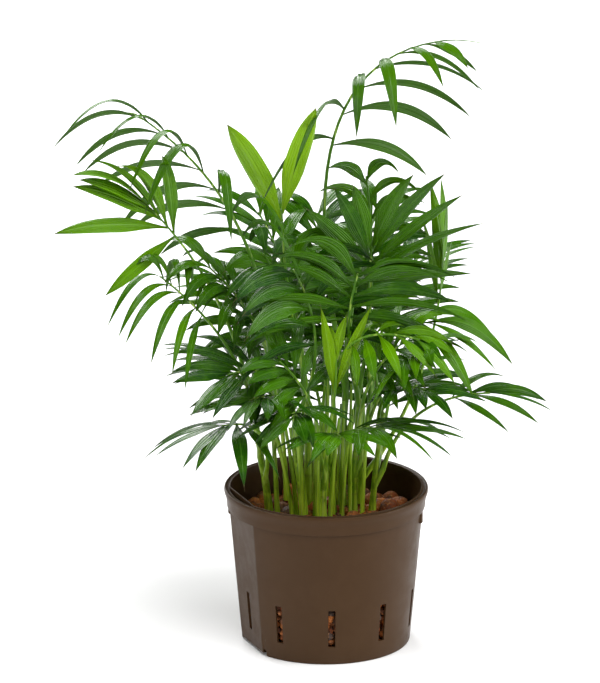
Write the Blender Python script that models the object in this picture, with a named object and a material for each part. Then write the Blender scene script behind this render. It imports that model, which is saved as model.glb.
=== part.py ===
"""Parlour palm, a clump of young stems in a brown hydroculture pot filled with clay pebbles.

Metres, +Z up. The origin is the centre of the pot's flat underside, and +Y points away from the
front of the plant. The plan of stems and fronds is written in millimetres; MM turns it into metres.
"""

import math
import random
from dataclasses import dataclass

import bmesh
import bpy
from mathutils import Matrix, Vector
from mathutils.bvhtree import BVHTree

MM = 0.001
GAP = 0.3 * MM
SEED = 11

# Pot
POT_HEIGHT = 118 * MM
FOOT_RADIUS = 61.8 * MM
WALL_TOP_RADIUS = 71.2 * MM
COLLAR_RADIUS = 73 * MM
COLLAR_BOTTOM = 103 * MM
LIP_RADIUS = 75 * MM
LIP_DEPTH = 7 * MM
EDGE = 1.2 * MM
WALL = 1.6 * MM
FLOOR = 2.4 * MM
POT_SIDES = 50

# Flat side of the pot, beside which a water gauge would stand
FLAT_HEADING = math.radians(-158)
FLAT_HALF_ANGLE = math.radians(19.5)
FLAT_FOOT = 2 * MM

# Slots round the foot of the pot
SLOT_COUNT = 10
SLOT_HEADING = math.radians(-86.3)
SLOT_WIDTH = 5.2 * MM
SLOT_BOTTOM = 14 * MM
SLOT_TOP = 43 * MM

# Lugs under the collar: heading in degrees, bottom height
LUGS = ((-12, 94 * MM), (186, 99 * MM))
LUG_WIDTH = 5 * MM

# Clay pebbles
FILL_LEVEL = 96 * MM
PEBBLE_RADIUS = 6.8 * MM
PEBBLE_PITCH = 13.4 * MM
PEBBLE_RISE = 0.2 * MM
PEBBLE_MARGIN = 1.2 * MM

# Fronds
STEM_SIDES = 8
STEM_SHARES = (0, 0.04, 0.12, 0.35, 0.6, 0.85, 1)
ROD_SIDES = 3
ROD_ROWS = 8
PETIOLE_RADIUS = 1.35 * MM
RIB_TIP_RADIUS = 0.6 * MM
LEAF_THICKNESS_SHARE = 1 / 75
LEAF_ROOT_SHARE = 0.2
LEAF_STEPS = 12
LEAF_WIDEST = 5
LEAF_SHOULDER = 9
STRAIGHT_DROOP = 0.65
CLEARANCE = 0.2 * MM
WELD = 0.001 * MM
LEAF_NUDGE = Vector((0.07, -0.05, 0.11)) * MM
SCRAP = 2 * MM ** 3


@dataclass(frozen=True)
class Stem:
    """A cane of the clump: x and y of its foot on the pebbles, its tip and its width, in mm."""

    name: str
    foot: tuple
    tip: tuple
    width: float


@dataclass(frozen=True)
class Frond:
    """A frond. Its rib leaves the stem at a height, passes the knee and ends at the tip, in mm.

    leaf is a leaflet's length and width in mm, face the way its upper side looks, bare the share
    of the rib with no leaflets, spread the leaflets' angles to the rib in degrees, first and last.
    droop is how far a leaflet bends down, lift how far it first rises, roll how far it turns flat.
    fade is the share by which the last leaflets are shorter.
    """

    name: str
    stem: str
    joint: float
    knee: tuple
    tip: tuple
    pairs: int
    leaf: tuple
    face: tuple
    bare: float = 0.5
    spread: tuple = (60, 22)
    droop: float = 0.5
    lift: float = 0.15
    roll: float = 0.1
    fade: float = 0.0
    tone: str = "dark"


STEMS = (
    Stem("stem_01", (-42, 3), (-55, 2, 178), 6.4),
    Stem("stem_02", (-36, -3), (-41, -1, 190), 4.4),
    Stem("stem_03", (-29, 31), (-34, 36, 170), 4.6),
    Stem("stem_04", (-17, -8), (-26, -8, 165), 5.6),
    Stem("stem_05", (-13, 22), (-14, 24, 185), 7.2),
    Stem("stem_06", (-3, -12), (-2, -16, 150), 7.4),
    Stem("stem_07", (5, 4), (5, 2, 168), 5.6),
    Stem("stem_08", (12, 20), (14, 26, 190), 6.4),
    Stem("stem_09", (20, 2), (24, 0, 185), 6.2),
    Stem("stem_10", (25, 24), (33, 30, 180), 5.8),
    Stem("stem_11", (34, 8), (42, 6, 172), 5.4),
    Stem("stem_12", (0, 40), (1, 50, 165), 5.0),
)

FRONDS = (
    Frond("frond_05", "stem_05", 185, (-27.5, 10, 262), (-32.5, 2, 330), 1, (98, 24), (0, -9, 1),
          bare=0.97, spread=(22, 22), droop=0.05, lift=0, tone="new"),
    Frond("frond_01", "stem_02", 190, (-112, 6, 380), (-136, 10, 398), 8, (110, 8), (5, 8, 4),
          bare=0.46, spread=(64, 20), droop=1.8, lift=-0.02, roll=0.2, fade=0.1),
    Frond("frond_02", "stem_08", 190, (70, 12, 452), (80, 6, 456), 7, (112, 10), (-5, 7, 4),
          bare=0.46, spread=(70, 20), droop=2.1, lift=-0.1, roll=0.25, fade=0.5),
    Frond("frond_03", "stem_01", 178, (-84, -8, 272), (-128, -15, 336), 4, (88, 11), (-3, -9, 4),
          bare=0.64, spread=(118, 8), droop=0.5, tone="light"),
    Frond("frond_04", "stem_01", 130, (-66, -20, 220), (-121, -28, 288), 6, (86, 8), (2, -4, 7),
          bare=0.78, spread=(80, 26), droop=1.7, lift=0.3, tone="mid"),
    Frond("frond_06", "stem_06", 150, (6, -24, 195), (7, -26, 226), 2, (50, 8), (0, -9, 2),
          bare=0.84, spread=(14, 8), droop=0.1, lift=0, tone="new"),
    Frond("frond_07", "stem_10", 180, (30, 0, 255), (33, -12, 306), 4, (86, 11), (3, -9, 4),
          bare=0.75, spread=(84, 22), droop=0.4),
    Frond("frond_08", "stem_09", 185, (16, -20, 244), (23, -34, 292), 4, (88, 12), (1, -9, 5),
          bare=0.62, spread=(84, 40), droop=0.5),
    Frond("frond_09", "stem_11", 120, (68, 4, 172), (120, -2, 190), 3, (66, 7), (-1, -5, 8),
          bare=0.74, spread=(36, 10), droop=1.0),
    Frond("frond_10", "stem_11", 172, (50, -2, 240), (77, -8, 246), 2, (90, 10), (-2, -7, 6),
          bare=0.9, spread=(36, 14), droop=2.0, tone="mid"),
    Frond("frond_11", "stem_10", 120, (74, 24, 212), (86, 28, 290), 3, (80, 7), (-9, -3, 1),
          bare=0.74, spread=(22, 6), droop=0.2, tone="light"),
    Frond("frond_12", "stem_07", 120, (12, -26, 166), (42, -42, 176), 4, (72, 11), (-4, 3, 7),
          bare=0.7, spread=(80, 20), droop=0.9),
    Frond("frond_13", "stem_01", 118, (-56, -24, 172), (-76, -36, 176), 3, (68, 10), (4, 3, 7),
          bare=0.8, spread=(84, 24), droop=1.3, lift=0.0),
    Frond("frond_14", "stem_02", 150, (-44, -16, 210), (-72, -32, 214), 4, (62, 9), (-2, -7, 7),
          bare=0.66, spread=(72, 22), droop=0.7),
    Frond("frond_15", "stem_04", 130, (-18, -26, 186), (-24, -54, 188), 4, (54, 9), (0, 5, 6),
          bare=0.7, spread=(80, 30), droop=1.1),
    Frond("frond_16", "stem_04", 165, (-8, -22, 228), (-24, -36, 296), 4, (80, 12), (3, -8, 4),
          bare=0.5, spread=(74, 36), droop=1.0),
    Frond("frond_17", "stem_08", 150, (33, 20, 264), (29, 12, 352), 5, (52, 8), (1, -8, 4),
          bare=0.55, spread=(66, 26), droop=0.8, tone="mid"),
    Frond("frond_18", "stem_03", 170, (-50, 14, 235), (-86, 2, 286), 5, (64, 9), (3, -3, 8),
          bare=0.55, spread=(70, 26), droop=1.1),
    Frond("frond_19", "stem_09", 130, (50, -14, 210), (68, -30, 232), 4, (62, 9), (-3, 0, 8),
          bare=0.66, spread=(70, 28), droop=1.0, tone="mid"),
    Frond("frond_20", "stem_04", 145, (-34, -30, 196), (-56, -50, 200), 4, (60, 9), (3, 3, 7),
          bare=0.66, spread=(72, 26), droop=0.8),
    Frond("frond_21", "stem_06", 125, (4, -38, 168), (10, -66, 178), 4, (56, 9), (-1, 5, 6),
          bare=0.66, spread=(76, 28), droop=0.9, tone="mid"),
    Frond("frond_22", "stem_11", 140, (48, -12, 196), (72, -36, 204), 4, (60, 9), (-3, 3, 7),
          bare=0.66, spread=(72, 26), droop=0.8),
    Frond("frond_23", "stem_05", 180, (-28, 14, 258), (-46, 8, 294), 5, (58, 9), (3, -6, 4),
          bare=0.5, spread=(80, 36), droop=1.3),
    Frond("frond_36", "stem_07", 160, (36, -36, 246), (68, -42, 244), 4, (54, 8), (0, -5, 8),
          bare=0.5, spread=(80, 24), droop=1.9, tone="light"),
    Frond("frond_37", "stem_06", 140, (-14, -28, 196), (-34, -38, 226), 4, (58, 9), (3, -6, 6),
          bare=0.6, spread=(76, 28), droop=0.6),
    Frond("frond_38", "stem_09", 150, (38, -16, 214), (56, -24, 236), 4, (60, 10), (-3, -5, 7),
          bare=0.62, spread=(76, 26), droop=0.9, tone="mid"),
)

# Fronds at the back, tier by tier: stems, joint height, reach, tip height, pairs of leaflets
TIERS = (
    (("stem_11", "stem_10", "stem_12", "stem_03"), 128, 90, 192, 4),
    (("stem_10", "stem_08", "stem_12", "stem_05", "stem_03"), 160, 104, 252, 5),
    (("stem_08", "stem_12", "stem_05"), 165, 84, 300, 5),
)
FIRST_AT_BACK = 24
BACK_FROM = 58
BACK_SPAN = 76

TONES = {
    "dark": (0.035, 0.105, 0.012),
    "mid": (0.06, 0.17, 0.014),
    "light": (0.12, 0.27, 0.012),
    "new": (0.27, 0.48, 0.03),
}
UP = Vector((0, 0, 1))


def clear_scene():
    """Takes every object out of the scene."""
    for old in list(bpy.data.objects):
        bpy.data.objects.remove(old, do_unlink=True)


def finish(name, color, roughness):
    """A plain Principled finish."""
    material = bpy.data.materials.new(name)
    material.use_nodes = True
    shader = material.node_tree.nodes["Principled BSDF"]
    shader.inputs["Base Color"].default_value = (*color, 1.0)
    shader.inputs["Roughness"].default_value = roughness
    shader.inputs["Metallic"].default_value = 0.0
    return material


def add_object(name, mesh, material=None):
    """Puts a mesh into the scene as one named object."""
    thing = bpy.data.objects.new(name, mesh)
    bpy.context.scene.collection.objects.link(thing)
    if material is not None:
        mesh.materials.append(material)
    return thing


def mesh_of(name, points, faces):
    """A mesh from points and faces, with its faces turned outwards."""
    mesh = bpy.data.meshes.new(name)
    mesh.from_pydata([tuple(p) for p in points], [], faces)
    work = bmesh.new()
    work.from_mesh(mesh)
    bmesh.ops.recalc_face_normals(work, faces=work.faces)
    work.to_mesh(mesh)
    work.free()
    return mesh


def smooth(thing, angle):
    """Shades a round piece smooth, with edges sharper than the angle kept."""
    thing.data.shade_smooth()
    thing.data.set_sharp_from_angle(angle=math.radians(angle))


def apply_modifiers(thing):
    """Replaces an object's mesh by the one its modifiers give."""
    depsgraph = bpy.context.evaluated_depsgraph_get()
    result = bpy.data.meshes.new_from_object(thing.evaluated_get(depsgraph))
    result.name = thing.name
    thing.modifiers.clear()
    thing.data = result


def boolean(thing, tools, operation, solver="EXACT"):
    """Joins or cuts an object with a list of others, which are then removed."""
    group = bpy.data.collections.new(thing.name + "_tools")
    bpy.context.scene.collection.children.link(group)
    for tool in tools:
        group.objects.link(tool)
    step = thing.modifiers.new("fuse", "BOOLEAN")
    step.operation = operation
    step.operand_type = "COLLECTION"
    step.collection = group
    step.solver = solver
    apply_modifiers(thing)
    for tool in tools:
        bpy.data.objects.remove(tool, do_unlink=True)
    bpy.data.collections.remove(group)


def flat_limit(radius, heading):
    """Radius of the wall at a heading: round, but cut to a chord on the pot's flat side."""
    turn = (heading - FLAT_HEADING + math.pi) % (2 * math.pi) - math.pi
    if abs(turn) >= FLAT_HALF_ANGLE:
        return radius
    return radius * math.cos(FLAT_HALF_ANGLE) / math.cos(turn)


def turned(name, rings, sides):
    """A closed turned solid from (radius, height, flat) rings, bottom to top, with flat ends."""
    points = []
    for radius, height, flat in rings:
        for k in range(sides):
            heading = FLAT_HEADING + 2 * math.pi * (k + 0.5) / sides
            reach = flat_limit(radius, heading) if flat else radius
            points.append((reach * math.cos(heading), reach * math.sin(heading), height))
    return mesh_of(name, points, tube_faces(len(rings), sides))


def wall_radius(height):
    """Outer radius of the tapered wall at a height."""
    return FOOT_RADIUS + (WALL_TOP_RADIUS - FOOT_RADIUS) * height / COLLAR_BOTTOM


def block(name, heading, near, far, half_width, bottom, top):
    """A box that lies radially at a heading, from one radius to another."""
    along = Vector((math.cos(heading), math.sin(heading), 0))
    across = Vector((-math.sin(heading), math.cos(heading), 0))
    points = []
    for height in (bottom, top):
        for reach, side in ((near, -1), (far, -1), (far, 1), (near, 1)):
            points.append(along * reach + across * side * half_width + UP * height)
    faces = [[3, 2, 1, 0], [4, 5, 6, 7]]
    faces += [[k, (k + 1) % 4, (k + 1) % 4 + 4, k + 4] for k in range(4)]
    return add_object(name, mesh_of(name, points, faces))


def gauge_pocket():
    """The crescent between the round collar and the flat wall, open at the rim."""
    outer = COLLAR_RADIUS - WALL
    chord = WALL_TOP_RADIUS * math.cos(FLAT_HALF_ANGLE) + WALL / 2
    half = math.acos(chord / outer)
    steps = 8
    points = []
    for height in (COLLAR_BOTTOM + WALL, POT_HEIGHT + WALL):
        for k in range(steps + 1):
            heading = FLAT_HEADING + half * (2 * k / steps - 1)
            points.append((outer * math.cos(heading), outer * math.sin(heading), height))
    count = steps + 1
    faces = [list(range(count))[::-1], list(range(count, 2 * count))]
    faces += [[k, (k + 1) % count, (k + 1) % count + count, k + count] for k in range(count)]
    return add_object("pocket", mesh_of("pocket", points, faces))


def build_pot():
    """The pot: a tapered wall with one flat side, collar, lip, lugs, floor and slots."""
    rings = (
        (FOOT_RADIUS - EDGE, 0, True),
        (FOOT_RADIUS, EDGE, True),
        (WALL_TOP_RADIUS, COLLAR_BOTTOM, True),
        (COLLAR_RADIUS, COLLAR_BOTTOM + EDGE / 2, False),
        (COLLAR_RADIUS, POT_HEIGHT - LIP_DEPTH - EDGE / 2, False),
        (LIP_RADIUS, POT_HEIGHT - LIP_DEPTH, False),
        (LIP_RADIUS, POT_HEIGHT - EDGE, False),
        (LIP_RADIUS - EDGE, POT_HEIGHT, False),
    )
    material = finish("pot_plastic", (0.09, 0.05, 0.032), 0.42)
    body = add_object("pot", turned("pot", rings, POT_SIDES), material)
    lugs = []
    for degrees, bottom in LUGS:
        far = COLLAR_RADIUS - EDGE / 2
        near = FOOT_RADIUS + 2 * WALL
        top = COLLAR_BOTTOM + 2 * WALL
        lugs.append(block("lug", math.radians(degrees), near, far, LUG_WIDTH / 2, bottom, top))
    boolean(body, lugs, "UNION")
    inside = (
        (FOOT_RADIUS - WALL, FLOOR, True),
        (WALL_TOP_RADIUS - WALL, COLLAR_BOTTOM, True),
        (COLLAR_RADIUS - 2 * WALL, POT_HEIGHT - LIP_DEPTH, True),
        (COLLAR_RADIUS - 2 * WALL, POT_HEIGHT + WALL, True),
    )
    cutters = [add_object("cavity", turned("cavity", inside, POT_SIDES)), gauge_pocket()]
    inner = FOOT_RADIUS - 14 * MM
    outer = FOOT_RADIUS + 12 * MM
    for k in range(SLOT_COUNT):
        heading = SLOT_HEADING + 2 * math.pi * k / SLOT_COUNT
        cutters.append(block("slot", heading, inner, outer, SLOT_WIDTH / 2, SLOT_BOTTOM, SLOT_TOP))
    half = FOOT_RADIUS * math.sin(FLAT_HALF_ANGLE)
    near = FOOT_RADIUS * math.cos(FLAT_HALF_ANGLE) - 3 * MM
    cutters.append(block("foot_gap", FLAT_HEADING, near, outer, half, -WALL, FLAT_FOOT))
    boolean(body, cutters, "DIFFERENCE")
    smooth(body, 35)


def pebble_places(stems):
    """Centres of the top layer of pebbles, in a jittered triangular pattern clear of the stems."""
    rng = random.Random(SEED)
    wall = wall_radius(FILL_LEVEL)
    margin = WALL + PEBBLE_MARGIN + PEBBLE_RADIUS
    rows = int((wall - margin) / PEBBLE_PITCH) + 2
    places = []
    for row in range(-rows, rows + 1):
        for column in range(-rows, rows + 1):
            x = (column + 0.5 * (row % 2)) * PEBBLE_PITCH + rng.uniform(-1, 1) * MM
            y = row * PEBBLE_PITCH * 0.87 + rng.uniform(-1, 1) * MM
            z = FILL_LEVEL + PEBBLE_RISE + rng.uniform(-1.6, 1.2) * MM
            limit = flat_limit(wall, math.atan2(y, x)) - margin
            clear = [math.dist((x, y), s.foot_point[:2]) > s.foot_radius + PEBBLE_RADIUS + 2 * GAP for s in stems]
            if math.hypot(x, y) < limit and all(clear):
                places.append((x, y, z))
    return places


def build_pebbles(stems):
    """The filling: one solid inside the pot, its top a layer of rounded clay pebbles."""
    rings = (
        (FOOT_RADIUS - WALL - GAP, FLOOR + GAP, True),
        (wall_radius(FILL_LEVEL) - WALL - 2 * GAP, FILL_LEVEL, True),
    )
    material = finish("fired_clay", (0.32, 0.11, 0.045), 0.9)
    body = add_object("clay_pebbles", turned("clay_pebbles", rings, POT_SIDES), material)
    rng = random.Random(SEED)
    pebbles = []
    for place in pebble_places(stems):
        work = bmesh.new()
        bmesh.ops.create_icosphere(work, subdivisions=1, radius=PEBBLE_RADIUS)
        stretch = Vector((rng.uniform(0.85, 1.0), rng.uniform(0.85, 1.0), rng.uniform(0.75, 0.9)))
        turn = rng.uniform(0, math.pi)
        bmesh.ops.scale(work, vec=stretch, verts=work.verts)
        bmesh.ops.rotate(work, matrix=Matrix.Rotation(turn, 3, "Z"), verts=work.verts)
        bmesh.ops.translate(work, vec=place, verts=work.verts)
        mesh = bpy.data.meshes.new("pebble")
        work.to_mesh(mesh)
        work.free()
        pebbles.append(add_object("pebble", mesh))
    boolean(body, pebbles, "UNION")


def tube_faces(rows, count):
    """Faces of a tube of rings of count points each, closed at both ends."""
    faces = [list(range(count))[::-1]]
    for row in range(rows - 1):
        for j in range(count):
            a = row * count + j
            b = row * count + (j + 1) % count
            faces.append([a, b, b + count, a + count])
    faces.append([(rows - 1) * count + j for j in range(count)])
    return faces


class Rod:
    """A tapering three-sided rib along a curve: its centres, radii and the way it faces."""

    def __init__(self, centres, radii, face):
        self.centres = centres
        self.radii = radii
        self.face = face

    def frame(self, k):
        """Tangent, side and upper direction at the k-th centre."""
        before = self.centres[max(k - 1, 0)]
        after = self.centres[min(k + 1, len(self.centres) - 1)]
        tangent = (after - before).normalized()
        side = tangent.cross(self.face).normalized()
        return tangent, side, side.cross(tangent)

    def solid(self, extra=0.0):
        """Points and faces of the rod, grown by extra."""
        points = []
        for k, centre in enumerate(self.centres):
            tangent, side, upper = self.frame(k)
            if k == 0:
                centre = centre - tangent * extra
            for j in range(ROD_SIDES):
                angle = 2 * math.pi * j / ROD_SIDES + math.pi / 2
                out = side * math.cos(angle) + upper * math.sin(angle)
                points.append(centre + out * (self.radii[k] + extra))
        return points, tube_faces(len(self.centres), ROD_SIDES)


class Cane:
    """A stem as it stands: a slightly bowed, tapering cane with a flare at its foot."""

    def __init__(self, spec):
        self.name = spec.name
        self.foot_point = Vector((*spec.foot, 0)) * MM + UP * (FILL_LEVEL + GAP)
        self.tip_point = Vector(spec.tip) * MM
        self.foot_radius = 0.62 * spec.width * MM
        self.radius = 0.5 * spec.width * MM

    def centre(self, share):
        """Point on the cane's axis: upright at the foot, leaning more towards the tip."""
        flat = self.tip_point - self.foot_point
        lean = share ** 1.3
        return self.foot_point + Vector((flat.x * lean, flat.y * lean, flat.z * share))

    def thickness(self, share):
        """Radius of the cane: flared at the foot, and a third thinner at the tip."""
        flare = (self.foot_radius - self.radius) * max(0.0, 1 - share / 0.12)
        return self.radius * (1 - 0.34 * share) + flare

    def share_at(self, height):
        """Share of the cane's length at a height above the pot's underside."""
        span = self.tip_point.z - self.foot_point.z
        return min(max((height - self.foot_point.z) / span, 0.0), 1.0)

    def solid(self):
        """Points and faces of level rings, the foot a flat cut just above the filling."""
        points = []
        for share in STEM_SHARES:
            for j in range(STEM_SIDES):
                angle = 2 * math.pi * j / STEM_SIDES
                out = Vector((math.cos(angle), math.sin(angle), 0))
                points.append(self.centre(share) + out * self.thickness(share))
        return points, tube_faces(len(STEM_SHARES), STEM_SIDES)


def shares_at(t):
    """Shares of a curve's first and last point at t. Its bend has the rest."""
    return (1 - t) ** 2, t ** 2


def rib_rod(spec, cane, nudge):
    """A frond's petiole and rib: an arching curve from the stem through the knee to the tip."""
    share = cane.share_at(spec.joint * MM)
    knee = Vector(spec.knee) * MM + nudge
    tip = Vector(spec.tip) * MM + nudge * 0.5
    axis = cane.centre(share)
    if share >= 1:
        start = axis + UP * (GAP * 1.5 + PETIOLE_RADIUS * 0.8)
    else:
        away = Vector((knee.x - axis.x, knee.y - axis.y, 0)).normalized()
        start = axis + away * (cane.thickness(share) + PETIOLE_RADIUS + 2 * GAP)
    near = (knee - start).length
    before, after = shares_at(near / (near + (tip - knee).length))
    bend = (knee - start * before - tip * after) / (1 - before - after)
    centres = []
    radii = []
    for k in range(ROD_ROWS):
        t = k / (ROD_ROWS - 1)
        before, after = shares_at(t)
        centres.append(start * before + bend * (1 - before - after) + tip * after)
        radii.append(PETIOLE_RADIUS + (RIB_TIP_RADIUS - PETIOLE_RADIUS) * t)
    return Rod(centres, radii, Vector(spec.face).normalized())


def place_on(rod, share):
    """Point and frame on a rod at a share of its length."""
    last = len(rod.centres) - 1
    at = min(share * last, last - 1e-6)
    k = int(at)
    part = at - k
    point = rod.centres[k].lerp(rod.centres[k + 1], part)
    tangent = rod.frame(k)[0].lerp(rod.frame(k + 1)[0], part).normalized()
    side = tangent.cross(rod.face).normalized()
    return point, tangent, side, side.cross(tangent)


def leaf_path(root, tangent, start, length, bend):
    """A leaflet's midrib and the direction across its widest part, where it has begun to roll."""
    droop, roll = bend
    fall = Vector((start.x, start.y, 0)).normalized() * 0.3 - UP
    fall = fall * droop * (1 + 1.2 * max(start.z, 0))
    across = (tangent - start * tangent.dot(start)).normalized()
    sense = 1 if UP.cross(start).dot(across) > 0 else -1
    point = root
    path = []
    for k in range(LEAF_STEPS + 1):
        way = (start + fall * (k / LEAF_STEPS) ** 1.5).normalized()
        path.append((point, way))
        point = point + way * length / LEAF_STEPS
        if k <= LEAF_WIDEST:
            across = across + UP.cross(way).normalized() * sense * roll
            across = (across - way * across.dot(way)).normalized()
    return path, across


def leaf_solid(root, tangent, start, upper, size, bend, extra=0.0):
    """A leaflet: a thin three-sided blade that starts along start and bends down under its weight.

    size is its length and width, and bend its droop and how far it rolls flat on the way. The
    blade's sections all lie the same way across, so its faces stay flat.
    """
    length, width = size
    path, across = leaf_path(root - start * extra, tangent, start, length + 2 * extra, bend)
    under = -1 if across.cross(start).dot(upper) > 0 else 1
    thick = length * LEAF_THICKNESS_SHARE + extra
    marks = [(0, LEAF_ROOT_SHARE, LEAF_ROOT_SHARE), (LEAF_WIDEST, 1.0, 1.0)]
    if bend[0] > STRAIGHT_DROOP:
        marks.append((LEAF_SHOULDER, 0.72, 0.8))
    points = []
    for k, wide, deep in marks:
        point, way = path[k]
        side = across * (wide * width / 2 + extra)
        below = across.cross(way).normalized() * under
        points += [point + side, point - side, point + below * deep * thick]
    points.append(path[-1][0])
    faces = [[0, 1, 2]]
    for row in range(len(marks) - 1):
        for j in range(3):
            a = row * 3 + j
            b = row * 3 + (j + 1) % 3
            faces.append([a, b, b + 3])
            faces.append([a, b + 3, a + 3])
    end = len(points) - 1
    faces += [[end - 3 + j, end - 3 + (j + 1) % 3, end] for j in range(3)]
    return points, faces


def leaf_plan(spec):
    """Where each leaflet of a frond grows: share of the rib, side, angle, length and width."""
    plan = []
    for k in range(spec.pairs):
        v = k / max(spec.pairs - 1, 1)
        for side in (-1, 1):
            share = spec.bare + (0.985 - spec.bare) * (k + 0.35 + 0.1 * side) / (spec.pairs - 0.5)
            angle = spec.spread[1] + (spec.spread[0] - spec.spread[1]) * (1 - v) ** 1.4
            length = spec.leaf[0] * (0.8 + 0.2 * math.sin(math.pi * (0.15 + 0.75 * v)))
            length = length * (1 - spec.fade * v * v)
            width = spec.leaf[1] * (0.85 + 0.15 * math.sin(math.pi * (0.1 + 0.9 * v)))
            plan.append((min(share, 0.985), side, angle, length * MM, width * MM))
    return plan


def hits(solid, trees):
    """True where a solid touches one of the others."""
    tree = BVHTree.FromPolygons(*solid)
    return any(tree.overlap(other) for other in trees)


def grow_leaves(spec, rod, others, rng):
    """A frond's leaflets. One that would touch a neighbour is turned or shortened, then skipped."""
    leaves = []
    for share, side, angle, length, width in leaf_plan(spec):
        root, tangent, across, upper = place_on(rod, share)
        sway = rng.uniform(-4, 4)
        grown = rng.uniform(0.93, 1.05)
        for tries in range(9):
            shift = (tries + 1) // 2 * (1 if tries % 2 else -1)
            turn = math.radians(angle + sway + 5 * shift)
            lift = spec.lift + 0.09 * shift
            start = tangent * math.cos(turn) + across * side * math.sin(turn) + upper * lift
            start.normalize()
            size = (length * grown * (1 - 0.05 * tries), width)
            shape = (root, tangent, start, upper, size, (spec.droop, spec.roll))
            if not hits(leaf_solid(*shape, CLEARANCE), others):
                leaves.append(leaf_solid(*shape))
                break
    return leaves


def volume(faces):
    """Signed volume inside some faces. That of a sealed hollow is negative."""
    total = 0.0
    for face in faces:
        first, *rest = [corner.co for corner in face.verts]
        total += sum(first.dot(a.cross(b)) for a, b in zip(rest, rest[1:])) / 6
    return total


def keep_largest(mesh):
    """Drops scraps and sealed hollows. Says whether what is left is closed, with no leaflet lost."""
    work = bmesh.new()
    work.from_mesh(mesh)
    bmesh.ops.remove_doubles(work, verts=work.verts, dist=WELD)
    bmesh.ops.triangulate(work, faces=work.faces)
    left = set(work.faces)
    parts = []
    while left:
        stack = [left.pop()]
        part = set(stack)
        while stack:
            for edge in stack.pop().edges:
                for face in edge.link_faces:
                    if face in left:
                        left.discard(face)
                        part.add(face)
                        stack.append(face)
        parts.append(part)
    parts.sort(key=len)
    whole = all(volume(part) < SCRAP for part in parts[:-1])
    for part in parts[:-1]:
        bmesh.ops.delete(work, geom=list(part), context="FACES")
    closed = all(edge.is_manifold for edge in work.edges)
    work.to_mesh(mesh)
    work.free()
    return closed and whole


def fuse(body, leaf):
    """A body with a leaflet added, or None where no solver makes one closed solid of the two."""
    for solver in ("EXACT", "MANIFOLD"):
        trial = add_object(body.name, body.data.copy())
        boolean(trial, [add_object("leaf", leaf.copy())], "UNION", solver)
        if keep_largest(trial.data):
            name = body.name
            bpy.data.objects.remove(body, do_unlink=True)
            trial.name = name
            return trial
        bpy.data.objects.remove(trial, do_unlink=True)
    return None


def build_frond(spec, rod, leaves, material):
    """Fuses a frond into one solid. A leaflet that doesn't fuse is moved a hair, then left out."""
    body = add_object(spec.name, mesh_of(spec.name, *rod.solid()), material)
    for points, faces in leaves:
        for tries in range(4):
            moved = [point + LEAF_NUDGE * tries for point in points]
            fused = fuse(body, mesh_of("leaf", moved, faces))
            if fused:
                body = fused
                break


def filler_fronds():
    """Fronds that fill the back, tier by tier, fanned out evenly with a little sway."""
    rng = random.Random(SEED + 1)
    feet = {spec.name: Vector((*spec.foot, 0)) for spec in STEMS}
    made = []
    for names, joint, reach, top, pairs in TIERS:
        for k, name in enumerate(names):
            share = (k + 0.5) / len(names)
            heading = math.radians(BACK_FROM + BACK_SPAN * share + rng.uniform(-6, 6))
            out = Vector((math.cos(heading), math.sin(heading), 0))
            far = out * reach * rng.uniform(0.92, 1.05)
            height = top * rng.uniform(0.97, 1.03)
            tip = feet[name] * 0.6 + far + UP * height
            knee = feet[name] + far * 0.38 + UP * (joint + (height - joint) * 0.72)
            leaf = (rng.uniform(58, 66), rng.uniform(8.5, 10))
            made.append(Frond(f"frond_{FIRST_AT_BACK + len(made)}", name, joint, tuple(knee), tuple(tip),
                              pairs, leaf, tuple(UP * 6 - out * 5), bare=0.52, spread=(64, 26),
                              droop=rng.uniform(0.5, 0.9), tone=rng.choice(("dark", "dark", "mid"))))
    return made


def build_plant(canes):
    """The stems, then every frond: the ribs first, and then the leaflets between them."""
    bark = finish("cane_green", (0.2, 0.36, 0.03), 0.45)
    green = {tone: finish("leaf_" + tone, color, 0.38) for tone, color in TONES.items()}
    trees = {}
    for cane in canes.values():
        solid = cane.solid()
        thing = add_object(cane.name, mesh_of(cane.name, *solid), bark)
        smooth(thing, 50)
        trees[cane.name] = BVHTree.FromPolygons(*solid)
    rng = random.Random(SEED + 2)
    specs = list(FRONDS) + filler_fronds()
    rods = {}
    for spec in specs:
        for tries in range(40):
            reach = 0.9 * MM * tries
            nudge = Vector((rng.uniform(-1, 1), rng.uniform(-1, 1), rng.uniform(-0.3, 0.3))) * reach
            rod = rib_rod(spec, canes[spec.stem], nudge)
            if not hits(rod.solid(0.1 * MM), trees.values()):
                break
        rods[spec.name] = rod
        trees[spec.name] = BVHTree.FromPolygons(*rod.solid())
    for name in ("pot", "clay_pebbles"):
        depsgraph = bpy.context.evaluated_depsgraph_get()
        trees[name] = BVHTree.FromObject(bpy.data.objects[name], depsgraph)
    for spec in specs:
        others = [tree for name, tree in trees.items() if name != spec.name]
        leaves = grow_leaves(spec, rods[spec.name], others, rng)
        points, faces = rods[spec.name].solid()
        for leaf_points, leaf_faces in leaves:
            base = len(points)
            points = points + leaf_points
            faces = faces + [[base + index for index in face] for face in leaf_faces]
        trees[spec.name] = BVHTree.FromPolygons(points, faces)
        build_frond(spec, rods[spec.name], leaves, green[spec.tone])


def main():
    """Builds the pot, its filling and the plant."""
    clear_scene()
    canes = {spec.name: Cane(spec) for spec in STEMS}
    build_pot()
    build_pebbles(list(canes.values()))
    build_plant(canes)


main()
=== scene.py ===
"""The looks of a parlour palm in a brown hydroculture pot filled with clay pebbles.

Metres, +Z up, +Y away from the front of the plant. The plan of canes and fronds is in millimetres,
as the solids were made, and every leaflet follows the same rule as theirs with a finer surface.
"""

import logging
import math
import random
from dataclasses import dataclass, field
from enum import Enum

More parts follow.
